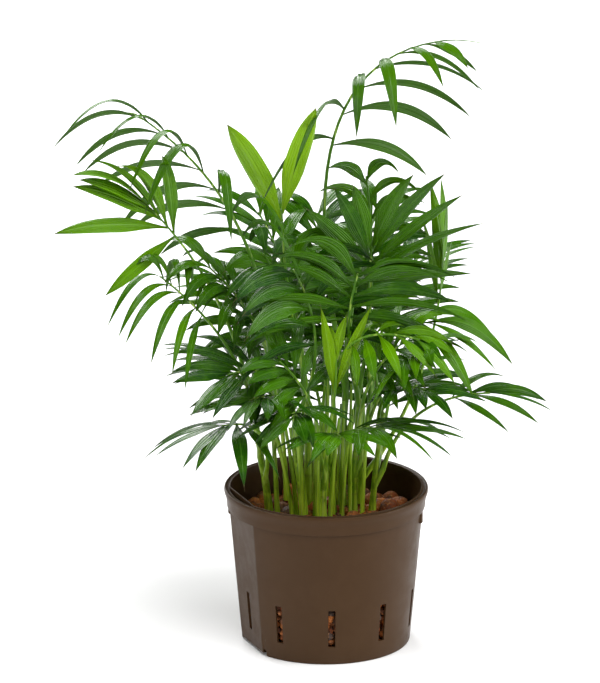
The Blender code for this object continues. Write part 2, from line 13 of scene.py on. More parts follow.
import bpy
import numpy as np
from numpy.typing import NDArray
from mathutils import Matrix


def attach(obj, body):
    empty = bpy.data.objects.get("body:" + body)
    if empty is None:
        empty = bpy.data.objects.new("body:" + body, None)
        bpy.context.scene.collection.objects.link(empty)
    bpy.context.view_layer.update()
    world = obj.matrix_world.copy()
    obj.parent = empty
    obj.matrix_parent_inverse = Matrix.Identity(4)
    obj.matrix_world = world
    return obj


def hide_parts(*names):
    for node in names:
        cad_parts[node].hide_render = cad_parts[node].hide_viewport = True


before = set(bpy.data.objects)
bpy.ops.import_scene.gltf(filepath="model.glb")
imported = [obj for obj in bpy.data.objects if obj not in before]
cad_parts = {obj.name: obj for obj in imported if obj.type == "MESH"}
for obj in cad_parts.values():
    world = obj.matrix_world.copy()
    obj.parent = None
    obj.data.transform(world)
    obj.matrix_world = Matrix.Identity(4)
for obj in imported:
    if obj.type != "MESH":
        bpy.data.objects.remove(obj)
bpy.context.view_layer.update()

Array = NDArray[np.float64]
log = logging.getLogger("parlour_palm")

MM = 0.001
GAP = 0.3
CLOSING = 1e-3
RIB_BASE = 1.35
SEED = 11


class Tone(Enum):
    """How old a frond's leaflets look."""

    DARK = "dark"
    MID = "mid"
    LIGHT = "light"
    NEW = "new"


@dataclass(frozen=True)
class CanePlan:
    """One cane of the clump: x and y of its foot, its tip and its width, in mm."""

    name: str
    foot: tuple[float, float]
    tip: tuple[float, float, float]
    width: float


@dataclass(frozen=True)
class FrondPlan:
    """One frond, in mm: its cane and joint height, the rib's knee and tip, and its leaflets.

    leaf is a leaflet's length and width, face the way its upper side looks, bare the share of the
    rib without leaflets, spread the first and last angle to the rib in degrees. droop, lift and roll
    shape the leaflets, fade is the share by which the last are shorter, and full says how far they
    stay broad towards the tip. more is how many pairs the finer frond has beyond its solid, bright
    how much lighter than its tone it is painted, as painted light on a frond that stands in the
    light and as painted shade where it is below zero, skew by how many degrees its first pair is
    turned, and whisker how far its rib's dry end reaches past its tip.
    """

    name: str
    cane: str
    joint: float
    knee: tuple[float, float, float]
    tip: tuple[float, float, float]
    pairs: int
    leaf: tuple[float, float]
    face: tuple[float, float, float]
    bare: float = 0.5
    spread: tuple[float, float] = (60, 22)
    droop: float = 0.5
    lift: float = 0.15
    roll: float = 0.1
    fade: float = 0.0
    full: float = 0.3
    tone: Tone = Tone.DARK
    more: int = 0
    bright: float = 0.0
    skew: float = 0.0
    whisker: float = 0.0


CANES = (
    CanePlan("stem_01", (-42, 3), (-55, 2, 178), 6.4),
    CanePlan("stem_02", (-36, -3), (-41, -1, 190), 4.4),
    CanePlan("stem_03", (-29, 31), (-34, 36, 170), 4.6),
    CanePlan("stem_04", (-17, -8), (-26, -8, 165), 5.6),
    CanePlan("stem_05", (-13, 22), (-14, 24, 185), 7.2),
    CanePlan("stem_06", (-3, -12), (-2, -16, 150), 7.4),
    CanePlan("stem_07", (5, 4), (5, 2, 168), 5.6),
    CanePlan("stem_08", (12, 20), (14, 26, 190), 6.4),
    CanePlan("stem_09", (20, 2), (24, 0, 185), 6.2),
    CanePlan("stem_10", (25, 24), (33, 30, 180), 5.8),
    CanePlan("stem_11", (34, 8), (42, 6, 172), 5.4),
    CanePlan("stem_12", (0, 40), (1, 50, 165), 5.0),
)

# A frond's shift of lightness paints light on fronds that stand in the light, and paints shade where it is
# below zero.
FRONDS = (
    FrondPlan("frond_05", "stem_05", 185, (-27.5, 10, 262), (-32.5, 2, 330), 1, (102, 17), (0, -9, 1),
              bare=0.88, spread=(21, 21), droop=0.05, lift=0, full=1.0, tone=Tone.NEW, skew=3),
    FrondPlan("frond_01", "stem_02", 190, (-112, 6, 380), (-136, 10, 398), 8, (110, 8), (5, 8, 4),
              bare=0.46, spread=(64, 20), droop=1.8, lift=-0.02, roll=0.1, fade=0.1, more=-1,
              bright=0.2, whisker=14),
    FrondPlan("frond_02", "stem_08", 190, (70, 12, 452), (80, 6, 456), 7, (112, 9), (-5, 7, 4),
              bare=0.46, spread=(74, 20), droop=1.8, lift=-0.1, roll=0.06, fade=0.45, more=-1,
              bright=0.4, whisker=38),
    FrondPlan("frond_03", "stem_01", 178, (-84, -8, 272), (-128, -15, 336), 4, (87, 10), (-3, -9, 4),
              bare=0.83, spread=(56, 6), droop=0.4, full=0.7, tone=Tone.LIGHT, skew=28),
    FrondPlan("frond_04", "stem_01", 130, (-66, -20, 220), (-121, -28, 288), 6, (88, 5.6), (2, -4, 7),
              bare=0.76, spread=(84, 26), droop=2.2, lift=0.35, tone=Tone.MID, bright=-0.15),
    FrondPlan("frond_06", "stem_06", 150, (6, -24, 195), (7, -26, 226), 2, (84, 8.5), (0, -9, 2),
              bare=0.5, spread=(14, 7), droop=0.1, lift=0, fade=0.5, tone=Tone.NEW),
    FrondPlan("frond_07", "stem_10", 180, (30, 0, 255), (33, -12, 306), 4, (95, 11), (3, -9, 4),
              bare=0.75, spread=(86, 14), droop=0.16, more=1, bright=0.2),
    FrondPlan("frond_08", "stem_09", 185, (16, -20, 244), (23, -34, 292), 4, (94, 12), (1, -9, 5),
              bare=0.62, spread=(84, 40), droop=0.6, more=1),
    FrondPlan("frond_09", "stem_11", 120, (68, 4, 172), (120, -2, 190), 3, (66, 7), (-1, -5, 8),
              bare=0.74, spread=(36, 10), droop=1.0),
    FrondPlan("frond_10", "stem_11", 172, (50, -2, 240), (77, -8, 246), 2, (90, 10), (-2, -7, 6),
              bare=0.9, spread=(36, 14), droop=2.0, tone=Tone.MID),
    FrondPlan("frond_11", "stem_10", 120, (74, 24, 212), (86, 28, 290), 3, (80, 7), (-9, -3, 1),
              bare=0.74, spread=(22, 6), droop=0.2, tone=Tone.LIGHT),
    FrondPlan("frond_12", "stem_07", 120, (12, -26, 166), (42, -42, 176), 4, (80, 11), (-4, 3, 7),
              bare=0.7, spread=(80, 20), droop=0.9, more=1),
    FrondPlan("frond_13", "stem_01", 118, (-56, -24, 172), (-76, -36, 176), 3, (77, 10), (4, 3, 7),
              bare=0.8, spread=(84, 24), droop=1.5, lift=0.0, more=1),
    FrondPlan("frond_14", "stem_02", 150, (-44, -16, 210), (-72, -32, 214), 4, (62, 9), (-2, -7, 7),
              bare=0.66, spread=(72, 22), droop=0.7, more=1),
    FrondPlan("frond_15", "stem_04", 130, (-18, -26, 186), (-24, -54, 188), 4, (54, 9), (0, 5, 6),
              bare=0.7, spread=(80, 30), droop=1.1, more=1),
    FrondPlan("frond_16", "stem_04", 165, (-8, -22, 228), (-24, -36, 296), 4, (80, 12), (3, -8, 4),
              bare=0.5, spread=(74, 36), droop=1.0, more=1),
    FrondPlan("frond_17", "stem_08", 150, (33, 20, 264), (29, 12, 352), 5, (52, 8), (1, -8, 4),
              bare=0.55, spread=(66, 26), droop=0.8, tone=Tone.MID, more=1),
    FrondPlan("frond_18", "stem_03", 170, (-50, 14, 235), (-86, 2, 286), 5, (64, 9), (3, -3, 8),
              bare=0.55, spread=(70, 26), droop=1.1, more=1),
    FrondPlan("frond_19", "stem_09", 130, (50, -14, 210), (68, -30, 232), 4, (62, 9), (-3, 0, 8),
              bare=0.66, spread=(70, 28), droop=1.0, tone=Tone.MID, more=1),
    FrondPlan("frond_20", "stem_04", 145, (-34, -30, 196), (-56, -50, 200), 4, (60, 9), (3, 3, 7),
              bare=0.66, spread=(72, 26), droop=0.8, more=1),
    FrondPlan("frond_21", "stem_06", 125, (4, -38, 168), (10, -66, 178), 4, (56, 9), (-1, 5, 6),
              bare=0.66, spread=(76, 28), droop=0.9, tone=Tone.MID, more=1),
    FrondPlan("frond_22", "stem_11", 140, (48, -12, 196), (72, -36, 204), 4, (60, 9), (-3, 3, 7),
              bare=0.66, spread=(72, 26), droop=0.8, more=1),
    FrondPlan("frond_23", "stem_05", 180, (-28, 14, 258), (-46, 8, 294), 5, (58, 9), (3, -6, 4),
              bare=0.5, spread=(80, 36), droop=1.3, more=1),
    FrondPlan("frond_36", "stem_07", 160, (36, -36, 246), (68, -42, 244), 4, (54, 8), (0, -5, 8),
              bare=0.5, spread=(80, 24), droop=1.9, tone=Tone.LIGHT, more=1),
    FrondPlan("frond_37", "stem_06", 140, (-14, -28, 196), (-34, -38, 226), 4, (58, 9), (3, -6, 6),
              bare=0.6, spread=(76, 28), droop=0.6, more=1),
    FrondPlan("frond_38", "stem_09", 150, (38, -16, 214), (56, -24, 236), 4, (60, 10), (-3, -5, 7),
              bare=0.62, spread=(76, 26), droop=0.9, tone=Tone.MID, more=1),
)

TIERS = (
    (("stem_11", "stem_10", "stem_12", "stem_03"), 128, 90, 192, 4),
    (("stem_10", "stem_08", "stem_12", "stem_05", "stem_03"), 160, 104, 252, 5),
    (("stem_08", "stem_12", "stem_05"), 165, 84, 300, 5),
)
FIRST_AT_BACK = 24
BACK_FROM = 58
BACK_SPAN = 76


def unit(vectors: Array) -> Array:
    """Vectors of length one along the last axis."""
    return vectors / np.maximum(np.linalg.norm(vectors, axis=-1, keepdims=True), 1e-12)


def dot(a: Array, b: Array) -> Array:
    """Dot product along the last axis, which is kept."""
    return np.sum(a * b, axis=-1, keepdims=True)


def smooth_step(x: Array) -> Array:
    """0 below 0, 1 above 1, and a soft S between."""
    t = np.clip(x, 0.0, 1.0)
    return t * t * (3 - 2 * t)


def around(count: int) -> Array:
    """Even angles round a circle, the first at 0."""
    return 2 * np.pi * np.arange(count) / count


def turned(radius: Array | float, heading: Array, height: Array | float) -> Array:
    """Points at a radius and heading from the Z axis and at a height."""
    x, y = radius * np.cos(heading), radius * np.sin(heading)
    return np.stack(np.broadcast_arrays(x, y, height), axis=-1)


def turn_from(heading: Array, zero: Array | float) -> Array:
    """The turn from one heading to another, between minus pi and pi."""
    return (heading - zero + np.pi) % (2 * np.pi) - np.pi


@dataclass
class Surface:
    """Points, faces and the values the finish reads, gathered until they become one mesh."""

    points: list[Array] = field(default_factory=list)
    faces: list[NDArray[np.int64]] = field(default_factory=list)
    places: list[Array] = field(default_factory=list)
    values: dict[str, list[Array]] = field(default_factory=dict)
    count: int = 0

    def add(self, points: Array, faces: NDArray[np.int64], places: Array,
            **values: Array | float) -> None:
        """Adds a patch.

        Args:
            points: Its points in metres, one row each.
            faces: Its four-cornered faces, numbered from its own first point.
            places: Across and along for each point, from 0 to 1.
            values: One number for each point or for all, by the name that the finish reads.
        """
        self.points.append(points)
        self.faces.append(faces + self.count)
        self.places.append(places)
        for name, numbers in values.items():
            self.values.setdefault(name, []).append(np.broadcast_to(numbers, len(points)))
        self.count += len(points)

    def add_grid(self, points: Array, across: Array | None = None, closed: bool = True,
                 flip: bool = False, **values: Array | float) -> None:
        """Adds a grid of points.

        Args:
            points: Its points in mm: (rows, columns, 3).
            across: Across for each column, even round a closed row if left out.
            closed: Whether the last column joins the first.
            flip: Whether its faces are turned over.
            values: As for add.
        """
        rows, columns = points.shape[:2]
        if across is None:
            across = np.arange(columns) / columns
        faces = grid_faces(rows, columns, closed)
        self.add(points.reshape(-1, 3) * MM, faces[:, ::-1] if flip else faces,
                 grid_places(across, rows), **values)

    def build(self, name: str, crease: float = 60.0) -> bpy.types.Object:
        """Makes the mesh and its object.

        Args:
            name: The piece's name.
            crease: Edges sharper than this angle in degrees stay sharp.

        Returns:
            The object, at the origin.
        """
        points = np.concatenate(self.points)
        faces = np.concatenate(self.faces)
        places = np.concatenate(self.places)
        mesh = bpy.data.meshes.new(name)
        mesh.vertices.add(len(points))
        mesh.vertices.foreach_set("co", points.astype(np.float32).ravel())
        mesh.loops.add(faces.size)
        mesh.loops.foreach_set("vertex_index", faces.astype(np.int32).ravel())
        mesh.polygons.add(len(faces))
        mesh.polygons.foreach_set("loop_start", np.arange(0, faces.size, 4, dtype=np.int32))
        mesh.update(calc_edges=True)
        mesh.shade_smooth()
        mesh.set_sharp_from_angle(angle=math.radians(crease))
        layer = mesh.uv_layers.new(name="place")
        layer.data.foreach_set("uv", places[faces.ravel()].astype(np.float32).ravel())
        for label, numbers in self.values.items():
            attribute = mesh.attributes.new(label, "FLOAT", "POINT")
            attribute.data.foreach_set("value", np.concatenate(numbers).astype(np.float32))
        mesh.validate()
        thing = bpy.data.objects.new(name, mesh)
        bpy.context.scene.collection.objects.link(thing)
        return thing


def grid_faces(rows: int, columns: int, closed: bool = True) -> NDArray[np.int64]:
    """Faces of a grid of points, row by row.

    Args:
        rows: Rows of points.
        columns: Points in a row.
        closed: Whether the last column joins the first.

    Returns:
        Four corners for each face.
    """
    row, column = np.meshgrid(np.arange(rows - 1), np.arange(columns if closed else columns - 1),
                              indexing="ij")
    here = row * columns + column
    beside = row * columns + (column + 1) % columns
    return np.stack([here, beside, beside + columns, here + columns], axis=-1).reshape(-1, 4)


def grid_places(across: Array, rows: int) -> Array:
    """Across and along for a grid's points, along growing evenly from 0 to 1 over the rows."""
    along = np.linspace(0, 1, rows)[:, None]
    return np.stack(np.broadcast_arrays(across, along), axis=-1).reshape(-1, 2)


def tubes(paths: Array, radii: Array, sides: int, towards: Array) -> Array:
    """Points round paths: centre plus radius times (across cos angle plus upwards sin angle).

    Args:
        paths: Centres, one path a row: (paths, rows, 3).
        radii: Radius at each centre: (paths, rows).
        sides: Points in a ring.
        towards: The way each path's upper side looks: (paths, 3).

    Returns:
        Points: (paths, rows, sides, 3).
    """
    tangent = unit(np.gradient(paths, axis=1))
    across = unit(np.cross(tangent, towards[:, None, :]))
    upwards = np.cross(across, tangent)
    angle = around(sides)[:, None]
    out = across[:, :, None, :] * np.cos(angle) + upwards[:, :, None, :] * np.sin(angle)
    return paths[:, :, None, :] + out * radii[:, :, None, None]


def add_tubes(surface: Surface, paths: Array, radii: Array, sides: int, towards: Array,
              tone: Array) -> None:
    """Adds closed tubes to a surface, each shut by a last ring of no width at both ends.

    Args:
        surface: Where they go.
        paths: Centres in mm: (paths, rows, 3).
        radii: Radii in mm: (paths, rows).
        sides: Points in a ring.
        towards: The way each upper side looks: (paths, 3).
        tone: A number for each path that the finish reads.
    """
    paths = np.concatenate([paths[:, :1], paths, paths[:, -1:]], axis=1)
    paths[:, 0] += (paths[:, 1] - paths[:, 2]) * CLOSING
    paths[:, -1] += (paths[:, -2] - paths[:, -3]) * CLOSING
    radii = np.concatenate([radii[:, :1] * CLOSING, radii, radii[:, -1:] * CLOSING], axis=1)
    for tube, number in zip(tubes(paths, radii, sides, towards), tone):
        surface.add_grid(tube, tone=number)


class Cane:
    """A cane as it stands: slightly bowed and tapering, with a flare at its foot."""

    bow = 1.3
    taper = 0.34
    flare_share = 0.12

    def __init__(self, plan: CanePlan, level: float) -> None:
        """Args:
            plan: Its foot, tip and width.
            level: Height of its foot, in mm.
        """
        self.foot = np.array([*plan.foot, level], float)
        self.tip = np.array(plan.tip, float)
        self.radius = 0.45 * plan.width
        self.foot_radius = 0.54 * plan.width

    def centre(self, share: Array) -> Array:
        """Points on the axis: upright at the foot, with a lean that grows as share to the bow."""
        share = np.asarray(share, float)[..., None]
        lean = np.concatenate([share**self.bow, share**self.bow, share], axis=-1)
        return self.foot + (self.tip - self.foot) * lean

    def thickness(self, share: Array) -> Array:
        """Radius: flared at the foot, and a third thinner at the tip."""
        share = np.asarray(share, float)
        flare = (self.foot_radius - self.radius) * np.maximum(0.0, 1 - share / self.flare_share)
        return self.radius * (1 - self.taper * share) + flare

    def share_at(self, height: float) -> float:
        """Share of the length at a height in mm."""
        return float(np.clip((height - self.foot[2]) / (self.tip[2] - self.foot[2]), 0, 1))


class Wiring:
    """Places and links the nodes of one material or node group."""

    def __init__(self, tree: bpy.types.NodeTree) -> None:
        """Args:
            tree: The node tree that is filled.
        """
        self.tree = tree

    def node(self, kind: str, **settings: object) -> bpy.types.Node:
        """Adds a node of a kind and sets its own settings."""
        made = self.tree.nodes.new(kind)
        for name, value in settings.items():
            setattr(made, name, value)
        return made

    def feed(self, target: bpy.types.NodeSocket, source: object) -> None:
        """Links a socket to a source, or sets it to a number or colour."""
        if isinstance(source, bpy.types.NodeSocket):
            self.tree.links.new(source, target)
        elif isinstance(source, tuple) and len(source) == 3 and target.type == "RGBA":
            target.default_value = (*source, 1.0)
        else:
            target.default_value = source

    def math(self, operation: str, a: object, b: object = 0.0, clamp: bool = False) -> bpy.types.NodeSocket:
        """A Math node of two inputs."""
        made = self.node("ShaderNodeMath", operation=operation, use_clamp=clamp)
        self.feed(made.inputs[0], a)
        self.feed(made.inputs[1], b)
        return made.outputs[0]

    def span(self, value: object, low: float, high: float, to_low: float = 0.0,
             to_high: float = 1.0) -> bpy.types.NodeSocket:
        """Maps a value from one span onto another, softly and held at the ends."""
        made = self.node("ShaderNodeMapRange", interpolation_type="SMOOTHSTEP")
        for socket, given in zip(made.inputs, (value, low, high, to_low, to_high)):
            self.feed(socket, given)
        return made.outputs[0]

    def mix(self, share: object, a: object, b: object) -> bpy.types.NodeSocket:
        """Mixes two colours."""
        made = self.node("ShaderNodeMix", data_type="RGBA")
        self.feed(made.inputs[0], share)
        self.feed(made.inputs[6], a)
        self.feed(made.inputs[7], b)
        return made.outputs[2]

    def noise(self, where: object, scale: object, detail: float = 2.0) -> bpy.types.NodeSocket:
        """The value of a Noise texture."""
        made = self.node("ShaderNodeTexNoise")
        self.feed(made.inputs["Vector"], where)
        self.feed(made.inputs["Scale"], scale)
        made.inputs["Detail"].default_value = detail
        return made.outputs[0]

    def stretched(self, where: object, x: float, y: float, z: float) -> bpy.types.NodeSocket:
        """Coordinates scaled along each axis."""
        made = self.node("ShaderNodeMapping")
        self.feed(made.inputs["Vector"], where)
        made.inputs["Scale"].default_value = (x, y, z)
        return made.outputs[0]

    def value(self, label: str) -> bpy.types.NodeSocket:
        """One of the piece's own values."""
        return self.node("ShaderNodeAttribute", attribute_name=label).outputs["Fac"]

    def object_place(self) -> bpy.types.NodeSocket:
        """Object coordinates."""
        return self.node("ShaderNodeTexCoord").outputs["Object"]

    def across_along(self) -> tuple[bpy.types.NodeSocket, bpy.types.NodeSocket]:
        """Across and along from the piece's UV map."""
        apart = self.node("ShaderNodeSeparateXYZ")
        self.feed(apart.inputs[0], self.node("ShaderNodeUVMap", uv_map="place").outputs[0])
        return apart.outputs[0], apart.outputs[1]


def effect(name: str, inputs: dict[str, str], outputs: dict[str, str]) -> tuple[Wiring, dict, dict]:
    """Starts a node group.

    Args:
        name: The group's name.
        inputs: Socket kind by name.
        outputs: Socket kind by name.

    Returns:
        The wiring, the sockets that bring the inputs and the sockets that take the outputs.
    """
    tree = bpy.data.node_groups.new(name, "ShaderNodeTree")
    for label, kind in inputs.items():
        tree.interface.new_socket(name=label, in_out="INPUT", socket_type=kind)
    for label, kind in outputs.items():
        tree.interface.new_socket(name=label, in_out="OUTPUT", socket_type=kind)
    wires = Wiring(tree)
    entry = wires.node("NodeGroupInput")
    leave = wires.node("NodeGroupOutput")
    return wires, {k: entry.outputs[k] for k in inputs}, {k: leave.inputs[k] for k in outputs}


NUMBER = "NodeSocketFloat"
COLOUR = "NodeSocketColor"
VECTOR = "NodeSocketVector"


class Effects:
    """The effects that several finishes share, each a node group built once."""

    def __init__(self) -> None:
        """Builds the groups."""
        self.mottle = self._mottle()
        self.grain = self._grain()
        self.veins = self._veins()

    def _mottle(self) -> bpy.types.NodeTree:
        """Soft patches of a second colour, where the sum of two scales of noise is high."""
        wires, given, out = effect(
            "mottle",
            {"Place": VECTOR, "Colour": COLOUR, "Patch": COLOUR, "Scale": NUMBER, "Share": NUMBER},
            {"Colour": COLOUR},
        )
        coarse = wires.noise(given["Place"], given["Scale"])
        fine = wires.noise(given["Place"], wires.math("MULTIPLY", given["Scale"], 4.3))
        both = wires.math("ADD", wires.math("MULTIPLY", coarse, 0.65), wires.math("MULTIPLY", fine, 0.35))
        mask = wires.math("MULTIPLY", wires.span(both, 0.42, 0.62), given["Share"], clamp=True)
        wires.feed(out["Colour"], wires.mix(mask, given["Colour"], given["Patch"]))
        return wires.tree

    def _grain(self) -> bpy.types.NodeTree:
        """A fine grain's height: noise of one scale with four octaves."""
        wires, given, out = effect("grain", {"Place": VECTOR, "Scale": NUMBER}, {"Height": NUMBER})
        wires.feed(out["Height"], wires.noise(given["Place"], given["Scale"], 4.0))
        return wires.tree

    def _veins(self) -> bpy.types.NodeTree:
        """Veins along a leaflet: a midrib where across is 0.5, and a wave across the blade."""
        wires, given, out = effect(
            "veins",
            {"Across": NUMBER, "Count": NUMBER},
            {"Height": NUMBER, "Lines": NUMBER, "Midrib": NUMBER},
        )
        turns = wires.math("MULTIPLY", wires.math("MULTIPLY", given["Across"], given["Count"]), 2 * math.pi)
        wave = wires.math("COSINE", turns)
        off = wires.math("ABSOLUTE", wires.math("SUBTRACT", given["Across"], 0.5))
        midrib = wires.span(off, 0.0, 0.07, 1.0, 0.0)
        wires.feed(out["Lines"], wires.span(wave, 0.55, 1.0))
        wires.feed(out["Midrib"], midrib)
        wires.feed(out["Height"], wires.math("ADD", wave, wires.math("MULTIPLY", midrib, 2.0)))
        return wires.tree


@dataclass(frozen=True)
class Finish:
    """A finish's name, colours and gloss, each class adding how they are spread."""

    name: str
    colour: tuple[float, float, float]
    patch: tuple[float, float, float]
    roughness: float
    specular: float = 0.3

    def start(self) -> tuple[bpy.types.Material, Wiring, bpy.types.Node]:
        """Makes the material.

        Returns:
            The material, its wiring and its Principled node.
        """
        material = bpy.data.materials.new(self.name)
        material.use_nodes = True
        wires = Wiring(material.node_tree)
        shader = material.node_tree.nodes["Principled BSDF"]
        shader.inputs["Metallic"].default_value = 0.0
        shader.inputs["Roughness"].default_value = self.roughness
        shader.inputs["Specular IOR Level"].default_value = self.specular
        return material, wires, shader

    def place_group(self, wires: Wiring, tree: bpy.types.NodeTree, **given: object) -> bpy.types.Node:
        """Puts a shared effect into the material and feeds its inputs by name."""
        made = wires.node("ShaderNodeGroup", node_tree=tree)
        for label, source in given.items():
            wires.feed(made.inputs[label], source)
        return made

    def bump(self, wires: Wiring, shader: bpy.types.Node, height: object, distance: float) -> None:
        """Feeds a height to the shader's normal."""
        made = wires.node("ShaderNodeBump")
        made.inputs["Strength"].default_value = 1.0
        made.inputs["Distance"].default_value = distance
        wires.feed(made.inputs["Height"], height)
        wires.feed(shader.inputs["Normal"], made.outputs[0])


@dataclass(frozen=True)
class PlasticFinish(Finish):
    """Moulded brown plastic with a satin skin, a fine grain and a trace of dust."""

    def make(self, effects: Effects) -> bpy.types.Material:
        """Builds it: one brown with the faintest patches, and gloss that varies a little."""
        material, wires, shader = self.start()
        where = wires.object_place()
        mottle = self.place_group(wires, effects.mottle, Place=where, Colour=self.colour,
                                  Patch=self.patch, Scale=30.0, Share=0.16)
        wires.feed(shader.inputs["Base Color"], mottle.outputs["Colour"])
        rough = wires.span(wires.noise(where, 90.0, 3.0), 0.3, 0.7,
                           self.roughness - 0.04, self.roughness + 0.06)
        wires.feed(shader.inputs["Roughness"], rough)
        grain = self.place_group(wires, effects.grain, Place=where, Scale=1600.0)
        self.bump(wires, shader, grain.outputs[0], 0.00005)
        return material


@dataclass(frozen=True)
class ClayFinish(Finish):
    """Fired clay: each pebble its own brown, with speckles, dust and fine pits."""

    grey: tuple[float, float, float] = (0.075, 0.05, 0.04)
    speck: tuple[float, float, float] = (0.55, 0.24, 0.1)

    def make(self, effects: Effects) -> bpy.types.Material:
        """Builds it: the tone picks a pebble's brown, mottling greys it, and specks lighten it."""
        material, wires, shader = self.start()
        where = wires.object_place()
        tone = wires.value("tone")
        body = wires.mix(wires.span(tone, 0.2, 0.95), self.colour, self.patch)
        dull = wires.mix(wires.span(tone, 0.2, 0.0), body, self.grey)
        mottle = self.place_group(wires, effects.mottle, Place=where, Colour=dull,
                                  Patch=self.grey, Scale=130.0, Share=0.75)
        specks = wires.span(wires.noise(where, 480.0, 4.0), 0.56, 0.7, 0.0, 0.7)
        wires.feed(shader.inputs["Base Color"], wires.mix(specks, mottle.outputs["Colour"], self.speck))
        grain = self.place_group(wires, effects.grain, Place=where, Scale=420.0)
        self.bump(wires, shader, grain.outputs[0], 0.0016)
        return material


@dataclass(frozen=True)
class CaneFinish(Finish):
    """A living cane: vivid yellow-green at the foot, greener above, with fine streaks and scars."""

    foot: tuple[float, float, float] = (0.4, 0.58, 0.03)
    scar: tuple[float, float, float] = (0.12, 0.11, 0.03)
    pale: tuple[float, float, float] = (0.5, 0.68, 0.12)

    def make(self, effects: Effects) -> bpy.types.Material:
        """Builds it: the height picks the green, streaks run along it, scars ring the nodes."""
        material, wires, shader = self.start()
        where = wires.object_place()
        apart = wires.node("ShaderNodeSeparateXYZ")
        wires.feed(apart.inputs[0], where)
        low = wires.mix(wires.span(apart.outputs[2], 0.1, 0.2), self.foot, self.colour)
        green = wires.mix(wires.span(apart.outputs[2], 0.2, 0.29, 0.0, 0.8), low, self.patch)
        tone = wires.mix(wires.span(wires.value("tone"), 0.3, 1.0, 0.0, 0.6), green, self.patch)
        streak = wires.noise(wires.stretched(where, 1.0, 1.0, 0.03), 420.0, 2.0)
        shaded = wires.mix(wires.span(streak, 0.52, 0.68, 0.0, 0.6), tone, self.patch)
        lined = wires.mix(wires.span(streak, 0.46, 0.34, 0.0, 0.5), shaded, self.pale)
        scarred = wires.mix(wires.math("MULTIPLY", wires.value("scar"), 0.35), lined, self.scar)
        wires.feed(shader.inputs["Base Color"], scarred)
        grain = self.place_group(wires, effects.grain, Place=wires.stretched(where, 1.0, 1.0, 0.08),
                                 Scale=1500.0)
        self.bump(wires, shader, grain.outputs[0], 0.0002)
        return material


@dataclass(frozen=True)
class LeafFinish(Finish):
    """A leaflet: veins along it, a paler underside, its own green with painted light and painted shade set
    frond by frond, and a dry tip.
    """

    under: tuple[float, float, float] = (0.1, 0.2, 0.05)
    dry: tuple[float, float, float] = (0.16, 0.11, 0.05)

    def make(self, effects: Effects) -> bpy.types.Material:
        """Builds it: tone mixes two greens, lines of veins lighten it, the end turns dry."""
        material, wires, shader = self.start()
        across, along = wires.across_along()
        where = wires.object_place()
        veins = self.place_group(wires, effects.veins, Across=across, Count=9.0)
        # tone is each leaflet's own green, plus painted light on fronds in the light and painted shade on a
        # frond in shade.
        green = wires.mix(wires.value("tone"), self.colour, self.patch)
        mottle = self.place_group(wires, effects.mottle, Place=where, Colour=green, Patch=self.patch,
                                  Scale=60.0, Share=0.35)
        lines = wires.math("MULTIPLY", veins.outputs["Lines"], 0.2)
        lined = wires.mix(lines, mottle.outputs["Colour"], self.patch)
        ribbed = wires.mix(wires.math("MULTIPLY", veins.outputs["Midrib"], 0.5), lined, self.under)
        sided = wires.mix(wires.math("MULTIPLY", wires.value("underside"), 0.6), ribbed, self.under)
        tipped = wires.mix(wires.span(along, 0.91, 0.96, 0.0, 0.9), sided, self.dry)
        wires.feed(shader.inputs["Base Color"], tipped)
        gloss = wires.span(wires.value("underside"), 0.0, 1.0, self.roughness, self.roughness + 0.18)
        wires.feed(shader.inputs["Roughness"], gloss)
        self.bump(wires, shader, veins.outputs["Height"], 0.0002)
        return material


